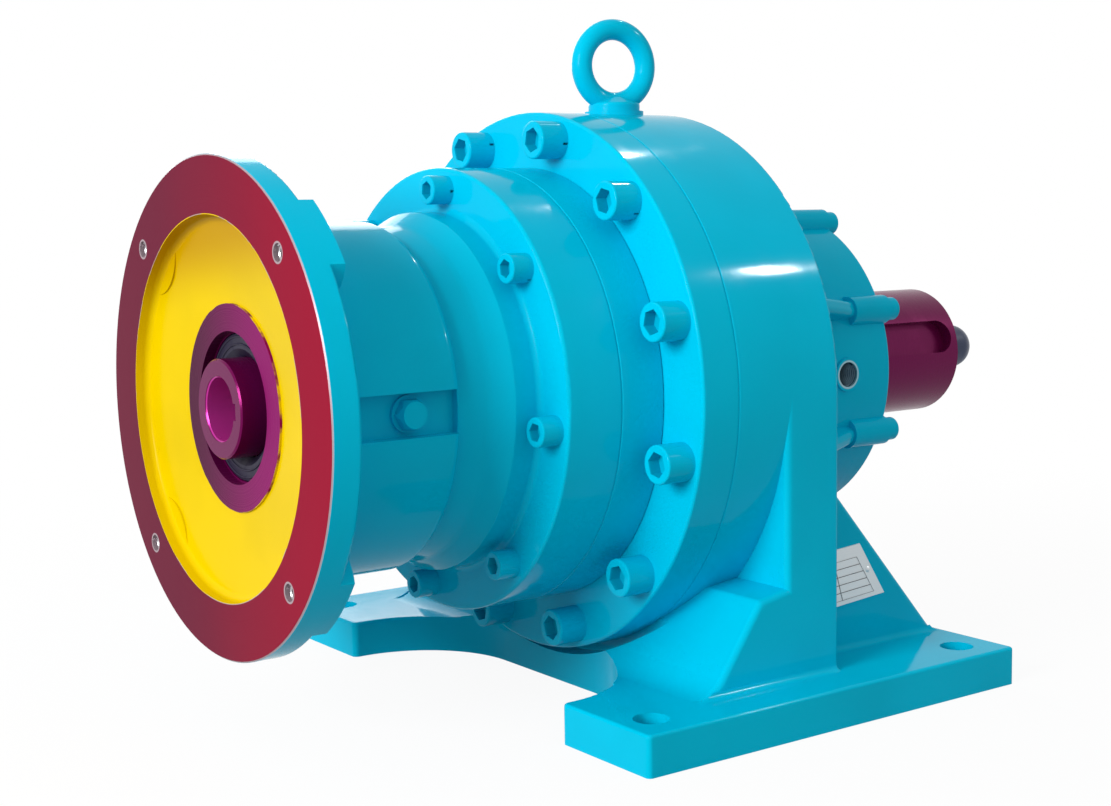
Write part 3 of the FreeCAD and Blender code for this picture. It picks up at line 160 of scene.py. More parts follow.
class PaintSettings(bpy.types.PropertyGroup):
    """Colours of the finishes."""

    enamel: bpy.props.FloatVectorProperty(
        name="Enamel", description="Gloss enamel of the castings", subtype="COLOR",
        size=3, min=0.0, max=1.0, default=(0.0, 0.51, 0.73))
    face: bpy.props.FloatVectorProperty(
        name="Flange face", description="Red lacquer of the motor flange's machined face", subtype="COLOR",
        size=3, min=0.0, max=1.0, default=(0.29, 0.0, 0.02))
    # Painted shade: the red face's darker colour, laid towards +y
    face_painted_shade: bpy.props.FloatVectorProperty(
        name="Flange face, thick", description="The red lacquer where it lies thicker", subtype="COLOR",
        size=3, min=0.0, max=1.0, default=(0.1, 0.0, 0.022))
    dish: bpy.props.FloatVectorProperty(
        name="Dish", description="Yellow enamel inside the motor flange", subtype="COLOR",
        size=3, min=0.0, max=1.0, default=(0.69, 0.49, 0.0))
    # Painted shade: the dish's yellow made darker towards its top
    dish_painted_shade: bpy.props.FloatVectorProperty(
        name="Dish, top", description="The yellow enamel towards the top of the dish", subtype="COLOR",
        size=3, min=0.0, max=1.0, default=(0.47, 0.265, 0.0))
    hub: bpy.props.FloatVectorProperty(
        name="Hub", description="Violet lacquer of the machined hub and the hollow shaft", subtype="COLOR",
        size=3, min=0.0, max=1.0, default=(0.16, 0.002, 0.08))
    # Painted light: a brighter colour inside the hollow shaft, standing in for the light on the bore's wall
    bore_painted_light: bpy.props.FloatVectorProperty(
        name="Bore", description="Thin bright lacquer inside the hollow shaft", subtype="COLOR",
        size=3, min=0.0, max=1.0, default=(0.5, 0.035, 0.3))
    shaft: bpy.props.FloatVectorProperty(
        name="Output shaft", description="Wine-red lacquer of the output shaft", subtype="COLOR",
        size=3, min=0.0, max=1.0, default=(0.16, 0.003, 0.068))
    plug: bpy.props.FloatVectorProperty(
        name="Shaft plug", description="Slate-blue lacquer of the plug in the shaft's end", subtype="COLOR",
        size=3, min=0.0, max=1.0, default=(0.025, 0.042, 0.1))
    waves: bpy.props.FloatProperty(
        name="Casting waves", description="Height of the casting's unevenness under the enamel",
        unit="LENGTH", min=0.0, default=0.00012)
    peel: bpy.props.FloatProperty(
        name="Orange peel", description="Height of the enamel's orange peel",
        unit="LENGTH", min=0.0, default=0.000002)
    ripples: bpy.props.FloatProperty(
        name="Ripples", description="Height of the brush ripples in the enamel",
        unit="LENGTH", min=0.0, default=0.00001)


class FittingSettings(bpy.types.PropertyGroup):
    """Sizes of the fittings that are added to the frame."""

    thread_pitch: bpy.props.FloatProperty(
        name="Thread pitch", description="Pitch of the threads in the tapped holes",
        unit="LENGTH", min=0.0005, default=0.00175)
    thread_depth: bpy.props.FloatProperty(
        name="Thread depth", description="Length of thread in a tapped hole",
        unit="LENGTH", min=0.002, default=0.018)
    seal_beads: bpy.props.IntProperty(
        name="Seal beads", description="Moulded beads on the front of the input seal", min=1, default=2)
    bead_radius: bpy.props.FloatProperty(
        name="Bead radius", description="Section radius of a seal bead",
        unit="LENGTH", min=0.0001, default=0.0007)
    plate_bottom: bpy.props.FloatProperty(
        name="Plate bottom", description="Length of the plate's lower edge",
        unit="LENGTH", min=0.01, default=0.0665)
    plate_top: bpy.props.FloatProperty(
        name="Plate top", description="Length of the plate's upper edge",
        unit="LENGTH", min=0.01, default=0.046)
    plate_height: bpy.props.FloatProperty(
        name="Plate height", description="Height of the plate", unit="LENGTH", min=0.01, default=0.038)
    plate_tilt: bpy.props.FloatProperty(
        name="Plate tilt", description="Lean of the plate", unit="ROTATION", default=math.radians(4.5))
    plate_rows: bpy.props.IntProperty(
        name="Plate rows", description="Rows that the plate's field lines divide it into", min=1, default=6)
    plate_line: bpy.props.FloatProperty(
        name="Plate lines", description="Half width of the plate's field lines",
        unit="LENGTH", min=0.0001, default=0.0003)


class StageSettings(bpy.types.PropertyGroup):
    """Camera, floor and ambient light."""

    azimuth: bpy.props.FloatProperty(
        name="Azimuth", description="Camera's turn about the object, 0 looks along +Y",
        unit="ROTATION", default=math.radians(-35.556))
    elevation: bpy.props.FloatProperty(
        name="Elevation", description="Camera's height angle", unit="ROTATION", default=math.radians(6.44))
    roll: bpy.props.FloatProperty(
        name="Roll", description="Camera's lean", unit="ROTATION", default=math.radians(-0.928))
    distance: bpy.props.FloatProperty(
        name="Distance", description="From the camera to the point it looks at",
        unit="LENGTH", default=1.1796)
    target: bpy.props.FloatVectorProperty(
        name="Target", description="Point that the camera looks at", subtype="XYZ", unit="LENGTH",
        size=3, default=(-0.0463, 0.0220, 0.1844))
    lens: bpy.props.FloatProperty(
        name="Lens", description="Focal length", unit="CAMERA", default=55.2)
    floor_radius: bpy.props.FloatProperty(
        name="Floor radius", description="Radius of the floor", unit="LENGTH", default=6.0)
    shade_radius: bpy.props.FloatProperty(
        name="Shaded floor", description="About how far out the floor takes shadows",
        unit="LENGTH", default=0.7)
    ambient: bpy.props.FloatProperty(
        name="Ambient", description="Strength of the world as light", min=0.0, default=0.64)


# Shader maths


class Value:
    """A number that varies over a surface: arithmetic on it adds Math nodes to its tree."""

    def __init__(self, nodes, socket):
        self.nodes = nodes
        self.socket = socket

    def math(self, operation, *others):
        return self.nodes.value("ShaderNodeMath", {"operation": operation}, dict(enumerate((self,) + others)))

    def __add__(self, other):
        return self.math("ADD", other)

    def __sub__(self, other):
        return self.math("SUBTRACT", other)

    def __rsub__(self, other):
        return self.nodes.value("ShaderNodeMath", {"operation": "SUBTRACT"}, {0: other, 1: self})

    def __mul__(self, other):
        return self.math("MULTIPLY", other)

    def __truediv__(self, other):
        return self.math("DIVIDE", other)

    def __pow__(self, other):
        return self.math("POWER", other)

    def __abs__(self):
        return self.math("ABSOLUTE")

    __rmul__ = __mul__

    def step(self, low, high):
        """0 at low and 1 at high, smooth between them; low may be the larger one."""
        return self.nodes.value(
            "ShaderNodeMapRange", {"interpolation_type": "SMOOTHSTEP"},
            {"Value": self, "From Min": low, "From Max": high})

    def below(self, limit, soft):
        """1 up to the limit, fading to 0 over soft beyond it."""
        return self.step(limit + soft, limit)


def diagonal(first, second):
    """Distance from two distances at right angles."""
    return (first * first + second * second) ** 0.5


class Nodes:
    """The node tree of a material or world."""

    def __init__(self, owner):
        owner.use_nodes = True
        self.tree = owner.node_tree

    def node(self, kind, settings=None, sockets=None):
        """Adds a node, with its settings first and then what its sockets hold or are linked to."""
        node = self.tree.nodes.new(kind)
        for key, setting in (settings or {}).items():
            setattr(node, key, setting)
        for key, given in (sockets or {}).items():
            self.feed(node.inputs[key], given)
        return node

    def feed(self, socket, given):
        """Links a socket to a Value or another socket, or gives it a number or colour."""
        if isinstance(given, Value):
            given = given.socket
        if isinstance(given, bpy.types.NodeSocket):
            self.tree.links.new(given, socket)
        elif socket.type == "RGBA":
            socket.default_value = (*given, 1.0)
        else:
            socket.default_value = given

    def value(self, kind, settings=None, sockets=None):
        """Adds a node and returns its first output as a Value."""
        return Value(self, self.node(kind, settings, sockets).outputs[0])

    def seen(self):
        """1 for what the camera sees directly, in a reflection or through glass, 0 for light."""
        path = self.node("ShaderNodeLightPath")
        straight, glossy, through = (
            Value(self, path.outputs[name])
            for name in ("Is Camera Ray", "Is Glossy Ray", "Is Transmission Ray"))
        return straight.math("MAXIMUM", glossy).math("MAXIMUM", through)


class Finish(Nodes):
    """A material in the making: one Principled shader, and the layers that feed it."""

    def __init__(self, name, color, roughness, metallic=0.0, **constants):
        self.material = bpy.data.materials.new(name)
        super().__init__(self.material)
        self.shader = self.tree.nodes["Principled BSDF"]
        self.look = {"Base Color": color, "Roughness": roughness, "Metallic": metallic}
        self.height = None
        for key, constant in constants.items():
            self.shader.inputs[key.replace("_", " ")].default_value = constant

    @cached_property
    def spot(self):
        """Object coordinates as a vector socket."""
        return self.node("ShaderNodeTexCoord").outputs["Object"]

    @cached_property
    def place(self):
        """Object coordinates x, y and z in millimetres."""
        parts = self.node("ShaderNodeSeparateXYZ", None, {0: self.spot})
        return [Value(self, output) * MM for output in parts.outputs]

    @cached_property
    def rise(self):
        """Height above the shaft axis in millimetres."""
        return self.place[2] - AXIS_Z * MM

    @cached_property
    def radius(self):
        """Distance from the shaft axis in millimetres."""
        return diagonal(self.place[1], self.rise)

    def noise(self, scale, detail=2.0):
        return self.value("ShaderNodeTexNoise", None, {"Vector": self.spot, "Scale": scale, "Detail": detail})

    def lines(self, along, scale, detail=2.0):
        """Noise that varies along one coordinate only, such as turning marks."""
        return self.value(
            "ShaderNodeTexNoise", {"noise_dimensions": "1D"}, {"W": along, "Scale": scale, "Detail": detail})

    def mix(self, mask, first, second):
        """Colour between first, where the mask is 0, and second, where it is 1."""
        return self.node("ShaderNodeMix", {"data_type": "RGBA"}, {0: mask, 6: first, 7: second}).outputs[2]

    def layer(self, mask, color=None, roughness=None, metallic=None):
        """Lays another look over the part of the surface where the mask is 1."""
        if color is not None:
            self.look["Base Color"] = self.mix(mask, self.look["Base Color"], color)
        for key, number in (("Roughness", roughness), ("Metallic", metallic)):
            if number is not None:
                self.look[key] = (number - self.look[key]) * mask + self.look[key]

    def raise_by(self, height):
        """Adds a height in metres to the relief."""
        self.height = height if self.height is None else self.height + height

    def done(self):
        """Connects the layers to the shader and returns the material."""
        for key, given in self.look.items():
            self.feed(self.shader.inputs[key], given)
        if self.height is not None:
            bump = self.node(
                "ShaderNodeBump", None, {"Strength": 1.0, "Distance": 1.0, "Height": self.height})
            self.feed(self.shader.inputs["Normal"], bump.outputs["Normal"])
        return self.material


# Finishes


def tinted(color, share):
    """A colour made darker or lighter by a share."""
    return tuple(min(1.0, channel * share) for channel in color)


def enamel(name, waves):
    """Gloss enamel of slightly uneven colour, with ripples, orange peel and, on a casting, waves."""
    paint = bpy.context.scene.gear_paint
    finish = Finish(name, tuple(paint.enamel), roughness=0.09, Specular_IOR_Level=0.03)
    finish.layer(finish.noise(scale=9.0, detail=3.0).step(0.35, 0.7), color=tinted(paint.enamel, 0.92))
    finish.layer(finish.noise(scale=45.0, detail=4.0).step(0.45, 0.75), roughness=0.14)
    finish.raise_by(finish.noise(scale=600.0, detail=1.0) * paint.peel)
    finish.raise_by(finish.noise(scale=140.0, detail=1.0) * paint.ripples)
    if waves:
        finish.raise_by(finish.noise(scale=22.0) * paint.waves)
    return finish


def adapter_finish():
    """Enamel with the red face, yellow dish, violet hub and bare edges and tapped holes of the motor end,
    with painted shade on the face and dish and painted light and shade on the hub.
    """
    paint = bpy.context.scene.gear_paint
    finish = enamel("adapter_enamel", waves=True)
    x, y, _ = finish.place
    radius = finish.radius
    depth = x - MOTOR_X * MM
    turning = finish.lines(radius, scale=3.0, detail=3.0)
    bare = {"color": BARE_METAL, "roughness": 0.35, "metallic": 0.3}
    finish.layer(depth.below(EDGE_DEPTH, 0.2), **bare)
    # Painted shade: the red face darker towards +y, mixed with its real turning marks
    face_painted_shade_and_turning = (y + finish.noise(scale=6.0) * 90.0).step(-110.0, 130.0) * 0.75 + turning * 0.3
    finish.layer(depth.below(FACE_DEPTH, 0.1),
                 color=finish.mix(face_painted_shade_and_turning, tuple(paint.face), tuple(paint.face_painted_shade)),
                 roughness=turning * 0.16 + 0.24, metallic=0.15)
    rim = radius.below(SPIGOT_R + RIM_WIDTH, 0.2) * depth.below(RIM_DEPTH, 0.1)
    finish.layer(rim, color=tuple(paint.dish), roughness=0.25, metallic=0.0)
    finish.layer(rim * finish.noise(scale=40.0, detail=3.0).step(0.5, 0.56), **bare)
    dish = radius.below(SPIGOT_R + 0.05, 0.05) * depth.below(DISH_DEPTH, 0.4)
    cloud = finish.noise(scale=14.0).step(0.4, 0.75)
    finish.layer(dish, color=finish.mix(cloud, tuple(paint.dish), tinted(paint.dish, 0.92)),
                 roughness=0.2, metallic=0.0)
    # Painted shade: the dish grows darker towards its top
    finish.layer(dish * (finish.rise + y * 0.1).step(PAINTED_SHADE_LOW, PAINTED_SHADE_HIGH), color=tuple(paint.dish_painted_shade))
    ragged = radius + finish.noise(scale=70.0, detail=3.0) * 1.6 - 0.8
    # Painted light and shade: the hub lighter towards -y and darker towards +y, as lit and shaded copies of
    # its lacquer
    hub_painted_light = (y + turning * 20.0).step(-45.0, 70.0)
    finish.layer(ragged.below(HUB_R, 0.3) * depth.below(HUB_DEPTH, 10.0),
                 color=finish.mix(hub_painted_light, tinted(paint.hub, 1.4), tinted(paint.hub, 0.4)),
                 roughness=turning * 0.15 + 0.2, metallic=0.3)
    hole = diagonal(abs(y) - HOLE_REACH * MM, abs(finish.rise) - HOLE_REACH * MM)
    finish.layer(hole.below(HOLE_RADIUS * MM + HOLE_RIM, 0.3) * depth.below(HOLE_DEPTH, 1.0), **bare)
    return finish.done()


def housing_finish():
    """Enamel with the bare rim of the oil port and painted shade inside it."""
    finish = enamel("housing_enamel", waves=True)
    x, y, z = finish.place
    port = diagonal(x - PORT.x * MM, z - PORT.z * MM).below(PORT_RADIUS * MM + PORT_RIM_WIDTH, 0.4)
    depth = y - PORT_MOUTH * MM
    # Painted shade: the oil port darker inside
    finish.layer(port * depth.below(PORT_DEPTH, 5.0), color=PORT_PAINTED_SHADE, roughness=0.4)
    finish.layer(port * depth.below(PORT_RIM_DEPTH, 0.4), color=PORT_RIM, roughness=0.3, metallic=0.3)
    return finish.done()


def screw_finish(node):
    """Enamel with painted shade inside the sockets of a circle of screws: darker there."""
    paint = bpy.context.scene.gear_paint
    count, socket = SCREWS[node]
    finish = enamel(node + "_enamel", waves=False)
    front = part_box(node)[0][0]
    heads = [vert.co for vert in NODES[node].data.vertices if vert.co.x < front + 0.0001]
    turns = [count * math.atan2(head.z - AXIS_Z, head.y) for head in heads]
    first = math.atan2(sum(map(math.sin, turns)), sum(map(math.cos, turns))) / count
    reach = MM * sum(math.hypot(head.y, head.z - AXIS_Z) for head in heads) / len(heads)
    x, y, _ = finish.place
    turn = (finish.rise.math("ARCTAN2", y) - first) * (count / math.tau) + 0.5
    aside = (turn.math("FRACT") - 0.5) * (reach * math.tau / count)
    # Painted shade: the enamel darker inside each socket
    socket_painted_shade = diagonal(aside, finish.radius - reach).below(socket, 0.4)
    finish.layer(socket_painted_shade * (x - front * MM).step(0.3, 1.5), color=tinted(paint.enamel, 0.8), roughness=0.3)
    return finish.done()


def lacquered_metal(name, color, roughness, metallic, bore_painted_light=None):
    """Metal under a coloured lacquer, with fine turning marks; the last argument is a brighter colour painted
    inside the hollow shaft as light on its wall.
    """
    finish = Finish(name, color, roughness, metallic, Specular_IOR_Level=0.1)
    marks = finish.lines(finish.place[0] + finish.radius, scale=2.2, detail=4.0)
    finish.layer(marks.step(0.35, 0.7), color=tinted(color, 0.88), roughness=roughness + 0.08)
    if bore_painted_light:
        # Painted light: the bore brighter than the shaft's outside
        finish.layer(finish.radius.below(MOTOR_BORE_R + 0.5, 0.2), color=bore_painted_light, roughness=0.25)
    finish.layer(finish.noise(scale=30.0, detail=4.0).step(0.5, 0.8), roughness=roughness + 0.15)
    finish.raise_by(marks * LACQUER_RELIEF)
    return finish.done()


def steel(name, color, roughness):
    """Plain machined metal of the threads and the pieces inside."""
    finish = Finish(name, color, roughness, metallic=1.0)
    finish.layer(finish.noise(scale=60.0, detail=5.0).step(0.4, 0.75), color=tinted(color, 0.8),
                 roughness=roughness + 0.15)
    finish.raise_by(finish.lines(finish.radius, scale=4.0) * STEEL_RELIEF)
    return finish.done()


def rubber():
    """Black nitrile rubber with a dull skin."""
    finish = Finish("seal_rubber", RUBBER, roughness=0.42, Specular_IOR_Level=0.25)
    finish.layer(finish.noise(scale=220.0, detail=3.0).step(0.5, 0.75), roughness=0.6)
    finish.raise_by(finish.lines(finish.radius, scale=1.5) * RUBBER_RELIEF)
    return finish.done()


def plug_lacquer():
    """Satin lacquer of the plug in the output shaft's end."""
    paint = bpy.context.scene.gear_paint
    finish = Finish("plug_lacquer", tuple(paint.plug), roughness=0.3, Specular_IOR_Level=0.3)
    finish.layer(finish.noise(scale=120.0, detail=4.0).step(0.5, 0.8), color=tinted(paint.plug, 1.5),
                 roughness=0.42)
    finish.raise_by(finish.noise(scale=500.0) * PLUG_RELIEF)
    return finish.done()


def plate_metal():
    """Brushed aluminium of the name plate."""
    finish = Finish("plate_metal", PLATE, roughness=0.34, metallic=0.35)
    brushed = finish.lines(finish.place[2], scale=6.0, detail=5.0)
    finish.layer(brushed.step(0.3, 0.7), color=PLATE_MARKS, roughness=0.46)
    finish.raise_by(brushed * BRUSH_RELIEF)
    return finish.done()


def plate_ink():
    """Dull grey ink of the plate's field lines."""
    finish = Finish("plate_ink", INK, roughness=0.5)
    finish.layer(finish.noise(scale=900.0, detail=3.0).step(0.45, 0.8), color=INK_WORN, roughness=0.6)
    return finish.done()


def dress(material, *nodes):
    """Gives frame nodes a finish."""
    for node in nodes:
        NODES[node].data.materials.clear()
        NODES[node].data.materials.append(material)


# New pieces


def new_piece(name, mesh, material):
    """Makes a piece on the housing from a bmesh."""
    bmesh.ops.remove_doubles(mesh, verts=mesh.verts, dist=MERGE)
    bmesh.ops.recalc_face_normals(mesh, faces=mesh.faces)
    data = bpy.data.meshes.new(name)
    mesh.to_mesh(data)
    mesh.free()
    data.shade_smooth()
    data.set_sharp_from_angle(angle=SHARP)
    data.materials.append(material)
    piece = bpy.data.objects.new(name, data)
    bpy.context.scene.collection.objects.link(piece)
    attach(piece, "housing")


def outline(mesh, corners):
    """Closed loop of edges through the corners."""
    verts = [mesh.verts.new(corner) for corner in corners]
    edges = [mesh.edges.new(pair) for pair in zip(verts, verts[1:] + verts[:1])]
    return verts + edges


def add_thread(mesh, mouth, inward, radius, depth, pitch):
    """Helical ridge inside a tapped hole, which starts a little below its mouth."""
    side = inward.orthogonal().normalized()
    start = mouth + inward * pitch
    root = start + side * (radius + pitch * THREAD_SINK)
    crest = start + side * (radius - pitch * THREAD_RISE) + inward * pitch * THREAD_WIDTH / 2
    section = outline(mesh, (root, crest, root + inward * pitch * THREAD_WIDTH))
    turns = int(depth / pitch)
    spun = bmesh.ops.spin(
        mesh, geom=section, cent=mouth, axis=inward, dvec=inward * pitch / THREAD_STEPS,
        angle=math.tau * turns, steps=THREAD_STEPS * turns)
    ends = [item for item in section + spun["geom_last"] if isinstance(item, bmesh.types.BMEdge)]
    bmesh.ops.holes_fill(mesh, edges=ends, sides=3)


def add_bead(mesh, place, radius, size):
    """Round bead, a ring about the shaft axis."""
    upright = Matrix.Rotation(math.pi / 2, 4, "X")
    circle = bmesh.ops.create_circle(
        mesh, segments=BEAD_SEGMENTS, radius=size,
        matrix=Matrix.Translation(place + Vector((0.0, 0.0, radius))) @ upright)
    edges = list({edge for vert in circle["verts"] for edge in vert.link_edges})
    bmesh.ops.spin(
        mesh, geom=circle["verts"] + edges, cent=place, axis=(1.0, 0.0, 0.0), angle=math.tau,
        steps=BEAD_STEPS, use_merge=True)


# Operators


class GearOperator:
    """What every operator here has in common."""

    bl_options = {"REGISTER", "UNDO"}


class GEAR_OT_castings(GearOperator, bpy.types.Operator):
    """Enamels the castings, screws and other painted pieces"""

    bl_idname = "gear.castings"
    bl_label = "Castings"

    def execute(self, context):
        dress(adapter_finish(), "motor_adapter")
        dress(housing_finish(), "output_housing")
        dress(enamel("casting_enamel", waves=True).done(), "output_cover", "eye_bolt")
        dress(enamel("machined_enamel", waves=False).done(), "ring_gear_1", "middle_flange", "neck_plugs",
              "adapter_washers", "flange_washers", "cover_screws")
        for node in SCREWS:
            dress(screw_finish(node), node)
        return {"FINISHED"}


class GEAR_OT_shafts(GearOperator, bpy.types.Operator):
    """Finishes the shafts, the shaft plug and the seals"""

    bl_idname = "gear.shafts"
    bl_label = "Shafts and seals"

    def execute(self, context):
        paint = context.scene.gear_paint
        hollow = tinted(paint.hub, 0.9)
        dress(lacquered_metal("hollow_shaft_lacquer", hollow, 0.18, 0.4, tuple(paint.bore_painted_light)), "input_shaft")
        dress(lacquered_metal("output_shaft_lacquer", tuple(paint.shaft), 0.2, 0.35), "output_shaft")
        dress(plug_lacquer(), "shaft_end_plug")
        dress(rubber(), "input_seal", "output_seal")
        return {"FINISHED"}


class GEAR_OT_train(GearOperator, bpy.types.Operator):
    """Finishes the gears, carriers and bearings inside"""

    bl_idname = "gear.train"
    bl_label = "Gear train"

    def execute(self, context):
        finishes = {
            "gear_steel": steel("gear_steel", GEAR_STEEL, 0.3),
            "bearing": steel("bearing_steel", BEARING_STEEL, 0.15),
            "bush": steel("bush_bronze", BRONZE, 0.3),
        }
        for node, slot in SLOTS.items():
            if slot in finishes:
                dress(finishes[slot], node)
        return {"FINISHED"}


class GEAR_OT_threads(GearOperator, bpy.types.Operator):
    """Adds threads to the motor flange's four tapped holes and the oil port"""

    bl_idname = "gear.threads"
    bl_label = "Threads"

    def execute(self, context):
        fittings = context.scene.gear_fittings
        bare = steel("thread_steel", THREAD_STEEL, 0.25)
        mesh = bmesh.new()
        for turn in range(4):
            reach = Matrix.Rotation(turn * math.pi / 2, 3, "X") @ Vector((0.0, HOLE_REACH, HOLE_REACH))
            add_thread(mesh, Vector((MOTOR_X, 0.0, AXIS_Z)) + reach, Vector((1.0, 0.0, 0.0)), HOLE_RADIUS,
                       fittings.thread_depth, fittings.thread_pitch)
        new_piece("motor_hole_threads", mesh, bare)
        mesh = bmesh.new()
        add_thread(mesh, Vector((PORT.x, PORT_MOUTH, PORT.z)), Vector((0.0, 1.0, 0.0)), PORT_RADIUS,
                   fittings.thread_depth, fittings.thread_pitch)
        # Painted shade: a dark thread for the shaded inside of the oil port
        new_piece("oil_port_thread", mesh, steel("port_steel", PORT_THREAD_SHADE, 0.35))
        return {"FINISHED"}


class GEAR_OT_seal(GearOperator, bpy.types.Operator):
    """Moulds the beads on the front of the input seal"""

    bl_idname = "gear.seal"
    bl_label = "Seal beads"

    def execute(self, context):
        fittings = context.scene.gear_fittings
        mesh = bmesh.new()
        for bead in range(fittings.seal_beads):
            add_bead(mesh, Vector((SEAL_LOW[0], 0.0, AXIS_Z)), SEAL_HIGH[1] - BEAD_INSET - bead * BEAD_GAP,
                     fittings.bead_radius)
        new_piece("input_seal_beads", mesh, rubber())
        return {"FINISHED"}


class GEAR_OT_plate(GearOperator, bpy.types.Operator):
    """Finishes the blank plate and draws its field lines"""

    bl_idname = "gear.plate"
    bl_label = "Name plate"

    def execute(self, context):
        dress(plate_metal(), "name_plate", "name_plate_rivets")
        new_piece("name_plate_lines", self.lattice(context.scene.gear_fittings), plate_ink())
        return {"FINISHED"}

    def lattice(self, fittings):
        """Thin frame round the plate's empty fields, clear of the rivets."""
        turn = Matrix.Rotation(-fittings.plate_tilt, 3, "Y")
        along, up = turn @ Vector((1.0, 0.0, 0.0)), turn @ Vector((0.0, 0.0, 1.0))
        corner = Vector(
            (PLATE_LOW[0] - up.x * fittings.plate_height, PLATE_LOW[1] - LINE_HEIGHT, PLATE_LOW[2]))
        mesh = bmesh.new()
        for row in range(fittings.plate_rows + 1):
            height = PLATE_EDGE + (fittings.plate_height - 2 * PLATE_EDGE) * row / fittings.plate_rows
            share = height / fittings.plate_height
            width = fittings.plate_bottom + (fittings.plate_top - fittings.plate_bottom) * share
            length = width - 2 * PLATE_SIDE
            start = corner + up * height + along * PLATE_SIDE
            places = [start + along * length * column for column in PLATE_COLUMNS]
            if row == 0:
                verts = [mesh.verts.new(place) for place in places]
                edges = [mesh.edges.new(pair) for pair in zip(verts, verts[1:])]
                continue
            grown = bmesh.ops.extrude_edge_only(mesh, edges=edges)["geom"]
            ends = [item for item in grown if isinstance(item, bmesh.types.BMVert)]
            edges = [item for item in grown if isinstance(item, bmesh.types.BMEdge)
                     and all(vert in ends for vert in item.verts)]
            for vert, place in zip(sorted(ends, key=lambda vert: vert.co.dot(along)), places):
                vert.co = place
        fields = mesh.faces[:]
        bmesh.ops.inset_individual(mesh, faces=fields, thickness=fittings.plate_line)
        bmesh.ops.delete(mesh, geom=fields, context="FACES_ONLY")
        bmesh.ops.remove_doubles(mesh, verts=mesh.verts, dist=MERGE)
        bmesh.ops.solidify(mesh, geom=mesh.faces[:], thickness=LINE_HEIGHT)
        return mesh


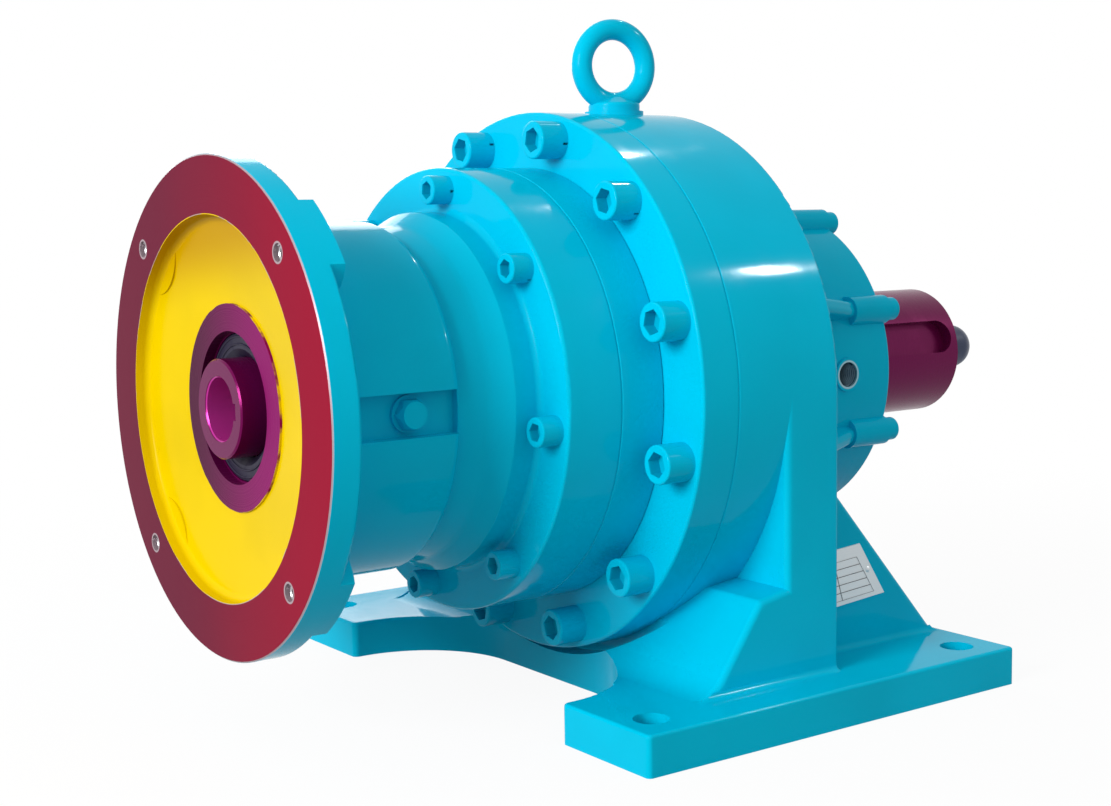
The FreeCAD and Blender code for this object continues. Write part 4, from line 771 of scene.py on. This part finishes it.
class GEAR_OT_stage(GearOperator, bpy.types.Operator):
    """Sets the floor, the lights and the camera"""

    bl_idname = "gear.stage"
    bl_label = "Stage"

    def execute(self, context):
        settings = context.scene.gear_stage
        context.scene.view_settings.view_transform = "Standard"
        self.floor(context.scene, settings)
        self.world(context.scene, settings)
        self.camera(context.scene, settings)
        for name, lamp in LAMPS.items():
            self.lamp(context.scene, name, *lamp)
        return {"FINISHED"}

    def floor(self, scene, settings):
        """White floor with a faint shadow near the object, which returns little light to it."""
        mesh = bmesh.new()
        bmesh.ops.create_circle(mesh, cap_ends=True, segments=64, radius=settings.floor_radius)
        data = bpy.data.meshes.new("floor")
        mesh.to_mesh(data)
        mesh.free()
        floor = bpy.data.objects.new("floor", data)
        scene.collection.objects.link(floor)
        finish = Finish("floor_white", FLOOR_WHITE, roughness=0.8, Specular_IOR_Level=0.0)
        x, y, _ = finish.place
        away = diagonal(x, y) / MM
        white = finish.node("ShaderNodeEmission", None, {"Color": WHITE, "Strength": 1.0})
        dim = finish.node("ShaderNodeBsdfDiffuse", None, {"Color": FLOOR_BOUNCE})
        beyond = away.step(settings.shade_radius * 0.5, settings.shade_radius * 1.6)
        near = finish.node("ShaderNodeMixShader", None, {
            0: beyond * (1.0 - FLOOR_VEIL) + FLOOR_VEIL, 1: finish.shader.outputs[0], 2: white.outputs[0]})
        both = finish.node("ShaderNodeMixShader", None, {
            0: finish.seen(), 1: dim.outputs[0], 2: near.outputs[0]})
        finish.feed(finish.tree.nodes["Material Output"].inputs["Surface"], both.outputs[0])
        data.materials.append(finish.done())

    def world(self, scene, settings):
        """Plain white to the camera and in reflections, and a dimmer white as light."""
        scene.world = bpy.data.worlds.new("studio")
        nodes = Nodes(scene.world)
        background = nodes.tree.nodes["Background"]
        nodes.feed(background.inputs["Color"], WHITE)
        nodes.feed(background.inputs["Strength"], nodes.seen() * (1.0 - settings.ambient) + settings.ambient)

    def camera(self, scene, settings):
        """Camera at the photograph's place."""
        turn, lift = settings.azimuth, settings.elevation
        back = Vector((math.sin(turn) * math.cos(lift), -math.cos(turn) * math.cos(lift), math.sin(lift)))
        right = Matrix.Rotation(settings.roll, 3, back) @ Vector((math.cos(turn), math.sin(turn), 0.0))
        data = bpy.data.cameras.new("camera")
        data.lens = settings.lens
        data.clip_end = 50.0
        camera = bpy.data.objects.new("camera", data)
        facing = Matrix((right, back.cross(right), back)).transposed().to_4x4()
        camera.matrix_world = Matrix.Translation(Vector(settings.target) + back * settings.distance) @ facing
        scene.collection.objects.link(camera)
        scene.camera = camera

    def lamp(self, scene, name, place, size, power, glint):
        """Rectangular light that faces the object; a glint only shows in reflections."""
        data = bpy.data.lights.new(name, "AREA")
        data.shape = "RECTANGLE"
        data.size, data.size_y = size
        data.energy = power
        lamp = bpy.data.objects.new(name, data)
        lamp.visible_diffuse = not glint
        way = Vector((0.0, 0.0, AXIS_Z)) - Vector(place)
        lamp.matrix_world = Matrix.Translation(place) @ way.to_track_quat("-Z", "Y").to_matrix().to_4x4()
        scene.collection.objects.link(lamp)


OPERATORS = (
    GEAR_OT_castings, GEAR_OT_shafts, GEAR_OT_train, GEAR_OT_threads, GEAR_OT_seal, GEAR_OT_plate,
    GEAR_OT_stage)
SETTINGS = {"gear_paint": PaintSettings, "gear_fittings": FittingSettings, "gear_stage": StageSettings}


class GEAR_PT_sidebar(bpy.types.Panel):
    """Lists the gear unit's operators and settings."""

    bl_idname = "GEAR_PT_sidebar"
    bl_label = "Gear Unit"
    bl_space_type = "VIEW_3D"
    bl_region_type = "UI"
    bl_category = "Gear Unit"

    def draw(self, context):
        for operator in OPERATORS:
            self.layout.operator(operator.bl_idname)
        for group, kind in SETTINGS.items():
            for key in kind.__annotations__:
                self.layout.prop(getattr(context.scene, group), key)


CLASSES = tuple(SETTINGS.values()) + OPERATORS + (GEAR_PT_sidebar,)


def register():
    for item in CLASSES:
        bpy.utils.register_class(item)
    for group, kind in SETTINGS.items():
        setattr(bpy.types.Scene, group, bpy.props.PointerProperty(type=kind))


def unregister():
    for group in SETTINGS:
        delattr(bpy.types.Scene, group)
    for item in reversed(CLASSES):
        bpy.utils.unregister_class(item)


def main():
    register()
    bpy.ops.gear.castings()
    bpy.ops.gear.shafts()
    bpy.ops.gear.train()
    bpy.ops.gear.threads()
    bpy.ops.gear.seal()
    bpy.ops.gear.plate()
    bpy.ops.gear.stage()


if __name__ == "__main__":
    main()
